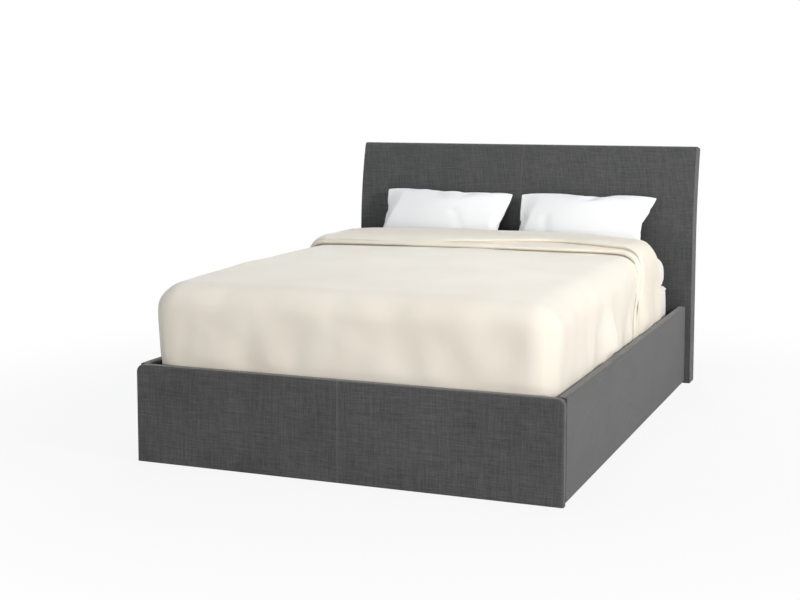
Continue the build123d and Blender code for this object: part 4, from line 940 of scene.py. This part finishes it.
def make_pillow(node, seed, tilt, start, end, wide):
    """A filled case that leans on the headboard, with a crease from start to end, as shares of its
    half width and half length, on its front."""
    low, high = (np.array(c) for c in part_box(node))
    width = high[0] - low[0]
    lean = PILLOW_TIP - PILLOW_FOOT
    length = float(np.linalg.norm(lean))
    lean = lean / length
    outward = np.array([-lean[1], lean[0]])
    points, faces, grids = flat_case(width, length, seed)
    obj = make_object(node + "_case", points, faces, PILLOW)
    simulate(obj)
    local = read_points(obj.data)
    smooth = SMOOTH_SHARE * ease(local[:, 2], SMOOTH_FROM * length, SMOOTH_FULL * length)
    soften(local, grids, smooth, SMOOTH_ROUNDS)
    local[:, 0] = fit(local[:, 0], CASE_WIDER * width)
    local[:, 2] = fit(local[:, 2], length)
    local[:, 1] *= PILLOW_THICK / (local[:, 1].max() - local[:, 1].min())

    across, along = 2 * local[:, 0] / width, 2 * local[:, 2] / length
    front = local[:, 1] < 0
    ear = ease(across, -1.0, -0.88 + 0.17 * ease(along, -0.6, 0.7))
    local[:, 1] *= np.where(front, EAR_THIN + (1 - EAR_THIN) * ear, 1.0)
    dip = CREASE_DIP * groove(across, along, start, end, wide)
    local[:, 1] += np.where(front, np.minimum(dip, -0.7 * local[:, 1]), 0)
    drawn = ease(-local[:, 2], -length * 0.48, length * 0.30)
    local[:, 0] -= PILLOW_NECK * drawn * np.maximum(local[:, 0] / width, 0) * 2
    local[:, 2] += local[:, 0] * radians(tilt) - CASE_DROP

    upper = local[:, 2] / length + 0.5
    belly = local[:, 1] * (BELLY_LOW - BELLY_LOSS * upper)
    yz = (PILLOW_FOOT + PILLOW_TIP) / 2 + np.outer(local[:, 2], lean) + np.outer(-belly, outward)
    points = np.stack([(low[0] + high[0]) / 2 + local[:, 0], yz[:, 0], yz[:, 1]], axis=1)
    above = np.maximum(points[:, 2] - PAD_LEVEL, 0)
    points[:, 2] = np.maximum(points[:, 2], PAD_LEVEL + 0.1 * above)
    rise = points[:, 2] - PAD_LEVEL
    points[:, 1] = np.maximum(points[:, 1], PILLOW_PIVOT_Y - rise / PILLOW_CLEAR_SLOPE)
    write_points(obj.data, points)
    place(subdivide(obj), "pillows", "pillow", node)


# Pull strap

STRAP_THICK = 0.0024
STRAP_BOW = 0.0028
STRAP_LOOP_Y = FOOT + 0.042
STRAP_LOOP_HEIGHT = 0.034
STRAP_NECK = 0.004
STRAP_TAIL_LOW, STRAP_TAIL_HIGH = 0.003, 0.004  # from the tube's underside and top
STRAP_SIDES = 16


def strap_line(top):
    """The strap's middle line in side view: a tail on the foot tube, then up and round the loop."""
    tube_low, tube_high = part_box("foot_platform_tube")
    tail_y = tube_low.y - STRAP_THICK / 2
    tail_low = tube_low.z + STRAP_TAIL_LOW
    tail_top = tube_high.z - STRAP_TAIL_HIGH
    base = top + STRAP_THICK / 2 - STRAP_LOOP_HEIGHT
    low = base + STRAP_NECK
    high = top - STRAP_BOW
    line = [(tail_y, z) for z in (tail_low, (tube_low.z + tube_high.z) / 2, tail_top)]
    for k in range(1, 6):
        t = k / 6
        line.append((tail_y + (STRAP_LOOP_Y - tail_y) * t, tail_top + (base - tail_top) * t))
    line.append((STRAP_LOOP_Y + STRAP_BOW * 0.6, low))
    for k in range(1, 8):
        line.append((STRAP_LOOP_Y + STRAP_BOW, low + (high - low) * k / 8))
    for k in range(9):
        angle = pi * k / 8
        line.append((STRAP_LOOP_Y + STRAP_BOW * cos(angle), high + STRAP_BOW * sin(angle)))
    for k in range(1, 8):
        line.append((STRAP_LOOP_Y - STRAP_BOW, high - (high - base - STRAP_NECK / 2) * k / 8))
    line.append((STRAP_LOOP_Y - STRAP_BOW * 0.3, base - STRAP_NECK / 4))
    return line


def make_strap():
    """Webbing with rounded edges along its line."""
    low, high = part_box("pull_strap")
    half, centre = (high.x - low.x) / 2, (low.x + high.x) / 2
    line = strap_line(high.z - STRAP_THICK / 2)
    ring = []
    for k in range(STRAP_SIDES):
        angle = 2 * pi * k / STRAP_SIDES
        across = half * np.sign(cos(angle)) * abs(cos(angle)) ** 0.25
        ring.append((across, STRAP_THICK / 2 * np.sign(sin(angle)) * abs(sin(angle)) ** 0.6))
    points, faces = [], []
    for i, (y, z) in enumerate(line):
        before, after = line[max(i - 1, 0)], line[min(i + 1, len(line) - 1)]
        along = np.array([after[0] - before[0], after[1] - before[1]])
        along = along / np.linalg.norm(along)
        for x, t in ring:
            points.append((centre + x, y - along[1] * t, z + along[0] * t))
    for i in range(len(line) - 1):
        this, other = i * STRAP_SIDES, (i + 1) * STRAP_SIDES
        for k in range(STRAP_SIDES):
            m = (k + 1) % STRAP_SIDES
            faces.append((this + k, this + m, other + m, other + k))
    faces.append(tuple(range(STRAP_SIDES))[::-1])
    faces.append(tuple((len(line) - 1) * STRAP_SIDES + k for k in range(STRAP_SIDES)))
    obj = make_object("pull_strap_webbing", points, faces, materials["strap"])
    place(obj, "platform", "strap", "pull_strap")


make_mattress()
make_pad()
make_duvet()
make_pillow("left_pillow", seed=1.0, tilt=-1.3, start=(0.20, 0.15), end=(0.58, -0.95), wide=0.09)
make_pillow("right_pillow", seed=8.0, tilt=0.5, start=(-0.55, 0.10), end=(-0.50, -0.9), wide=0.08)
make_strap()


# Camera, floor and light

CAMERA_PLACE = (1.9737, -5.5104, 1.3531)
CAMERA_DOWN = 5.6
CAMERA_TURN = 21.771
CAMERA_LENS = 63.03
CAMERA_SHIFT = -0.0868
FLOOR_HALF = 30.0
FLOOR_DROP = 0.0005
FLOOR_GREY = 0.62
FLOOR_GLOW = 0.88  # share of plain white in the floor near the object, all of it further out
FLOOR_NEAR = 1.3
FLOOR_FAR = 3.0
SKY_LIGHT = 0.30


def make_camera():
    data = bpy.data.cameras.new("camera")
    data.lens = CAMERA_LENS
    data.sensor_width = 36.0
    data.shift_y = CAMERA_SHIFT
    camera = bpy.data.objects.new("camera", data)
    camera.location = CAMERA_PLACE
    camera.rotation_euler = (radians(90 - CAMERA_DOWN), 0, radians(CAMERA_TURN))
    scene.collection.objects.link(camera)
    scene.camera = camera


def seen_directly(tree):
    """1 for rays from the camera, a mirror or glass, and 0 for the rays that light the object."""
    path = add_node(tree, "ShaderNodeLightPath").outputs
    clear = {0: path["Is Glossy Ray"], 1: path["Is Transmission Ray"]}
    glossy = add_node(tree, "ShaderNodeMath", clear, operation="MAXIMUM").outputs[0]
    either = {0: path["Is Camera Ray"], 1: glossy}
    return add_node(tree, "ShaderNodeMath", either, operation="MAXIMUM").outputs[0]


def make_floor():
    """White like the backdrop, and grey only as far as it takes the object's shadow."""
    material = bpy.data.materials.new("pale_floor")
    material.use_nodes = True
    tree = material.node_tree
    tree.nodes.clear()
    point = add_node(tree, "ShaderNodeTexCoord").outputs["Object"]
    distance = add_node(tree, "ShaderNodeVectorMath", {0: point}, operation="LENGTH").outputs[1]
    sockets = {
        "Value": distance, "From Min": FLOOR_NEAR, "From Max": FLOOR_FAR, "To Min": FLOOR_GLOW
    }
    glowing = add_node(tree, "ShaderNodeMapRange", sockets, interpolation_type="SMOOTHSTEP")
    sockets = {0: seen_directly(tree), 1: glowing.outputs[0]}
    share = add_node(tree, "ShaderNodeMath", sockets, operation="MULTIPLY").outputs[0]
    grey = (FLOOR_GREY, FLOOR_GREY, FLOOR_GREY, 1)
    diffuse = add_node(tree, "ShaderNodeBsdfDiffuse", {"Color": grey}).outputs[0]
    glow = add_node(tree, "ShaderNodeEmission", {"Strength": 1.0}).outputs[0]
    mixed = add_node(tree, "ShaderNodeMixShader", {0: share, 1: diffuse, 2: glow}).outputs[0]
    add_node(tree, "ShaderNodeOutputMaterial", {"Surface": mixed})
    corners = [(x * FLOOR_HALF, y * FLOOR_HALF, 0) for x, y in ((-1, -1), (1, -1), (1, 1), (-1, 1))]
    floor = make_object("floor", corners, [(0, 1, 2, 3)], material)
    floor.location.z = -FLOOR_DROP


def make_world():
    """A white backdrop that lights the object only faintly."""
    world = bpy.data.worlds.new("studio")
    scene.world = world
    world.use_nodes = True
    tree = world.node_tree
    tree.nodes.clear()
    sockets = {"Value": seen_directly(tree), "To Min": SKY_LIGHT}
    level = add_node(tree, "ShaderNodeMapRange", sockets).outputs[0]
    sockets = {"Color": (1, 1, 1, 1), "Strength": level}
    sky = add_node(tree, "ShaderNodeBackground", sockets).outputs[0]
    add_node(tree, "ShaderNodeOutputWorld", {"Surface": sky})


def softbox(name, location, target, width, height, beam, power, colour):
    """A lamp in metres, degrees and watts, turned to its target."""
    data = bpy.data.lights.new(name, "AREA")
    data.shape = "ELLIPSE" if width == height else "RECTANGLE"
    data.size, data.size_y = width, height
    data.spread = radians(beam)
    data.energy = power
    data.color = colour
    lamp = bpy.data.objects.new(name, data)
    lamp.location = location
    lamp.rotation_euler = (Vector(target) - Vector(location)).to_track_quat("-Z", "Y").to_euler()
    scene.collection.objects.link(lamp)


make_camera()
make_floor()
make_world()
softbox("key", (5.6, -2.0, 2.9), (0, 0, 0.5), 1.5, 1.5, 180, 200, (1.0, 0.992, 0.975))
softbox("head", (4.6, -0.6, 2.2), (0.2, 0.9, 0.7), 1.0, 1.0, 60, 5.8, (1.0, 0.99, 0.98))
softbox("front", (1.2, -6.0, 0.75), (0.1, -0.8, 0.45), 3.0, 0.9, 180, 114, (1.0, 0.978, 0.94))
softbox("top", (0.0, -0.4, 4.2), (0, -0.2, 0.5), 3.0, 3.0, 180, 50, (0.88, 0.94, 1.0))
softbox("back", (-2.0, 6.5, 3.2), (0, 0.8, 0.4), 2.6, 2.6, 180, 200, (1.0, 1.0, 1.0))
scene.view_settings.view_transform = "Standard"
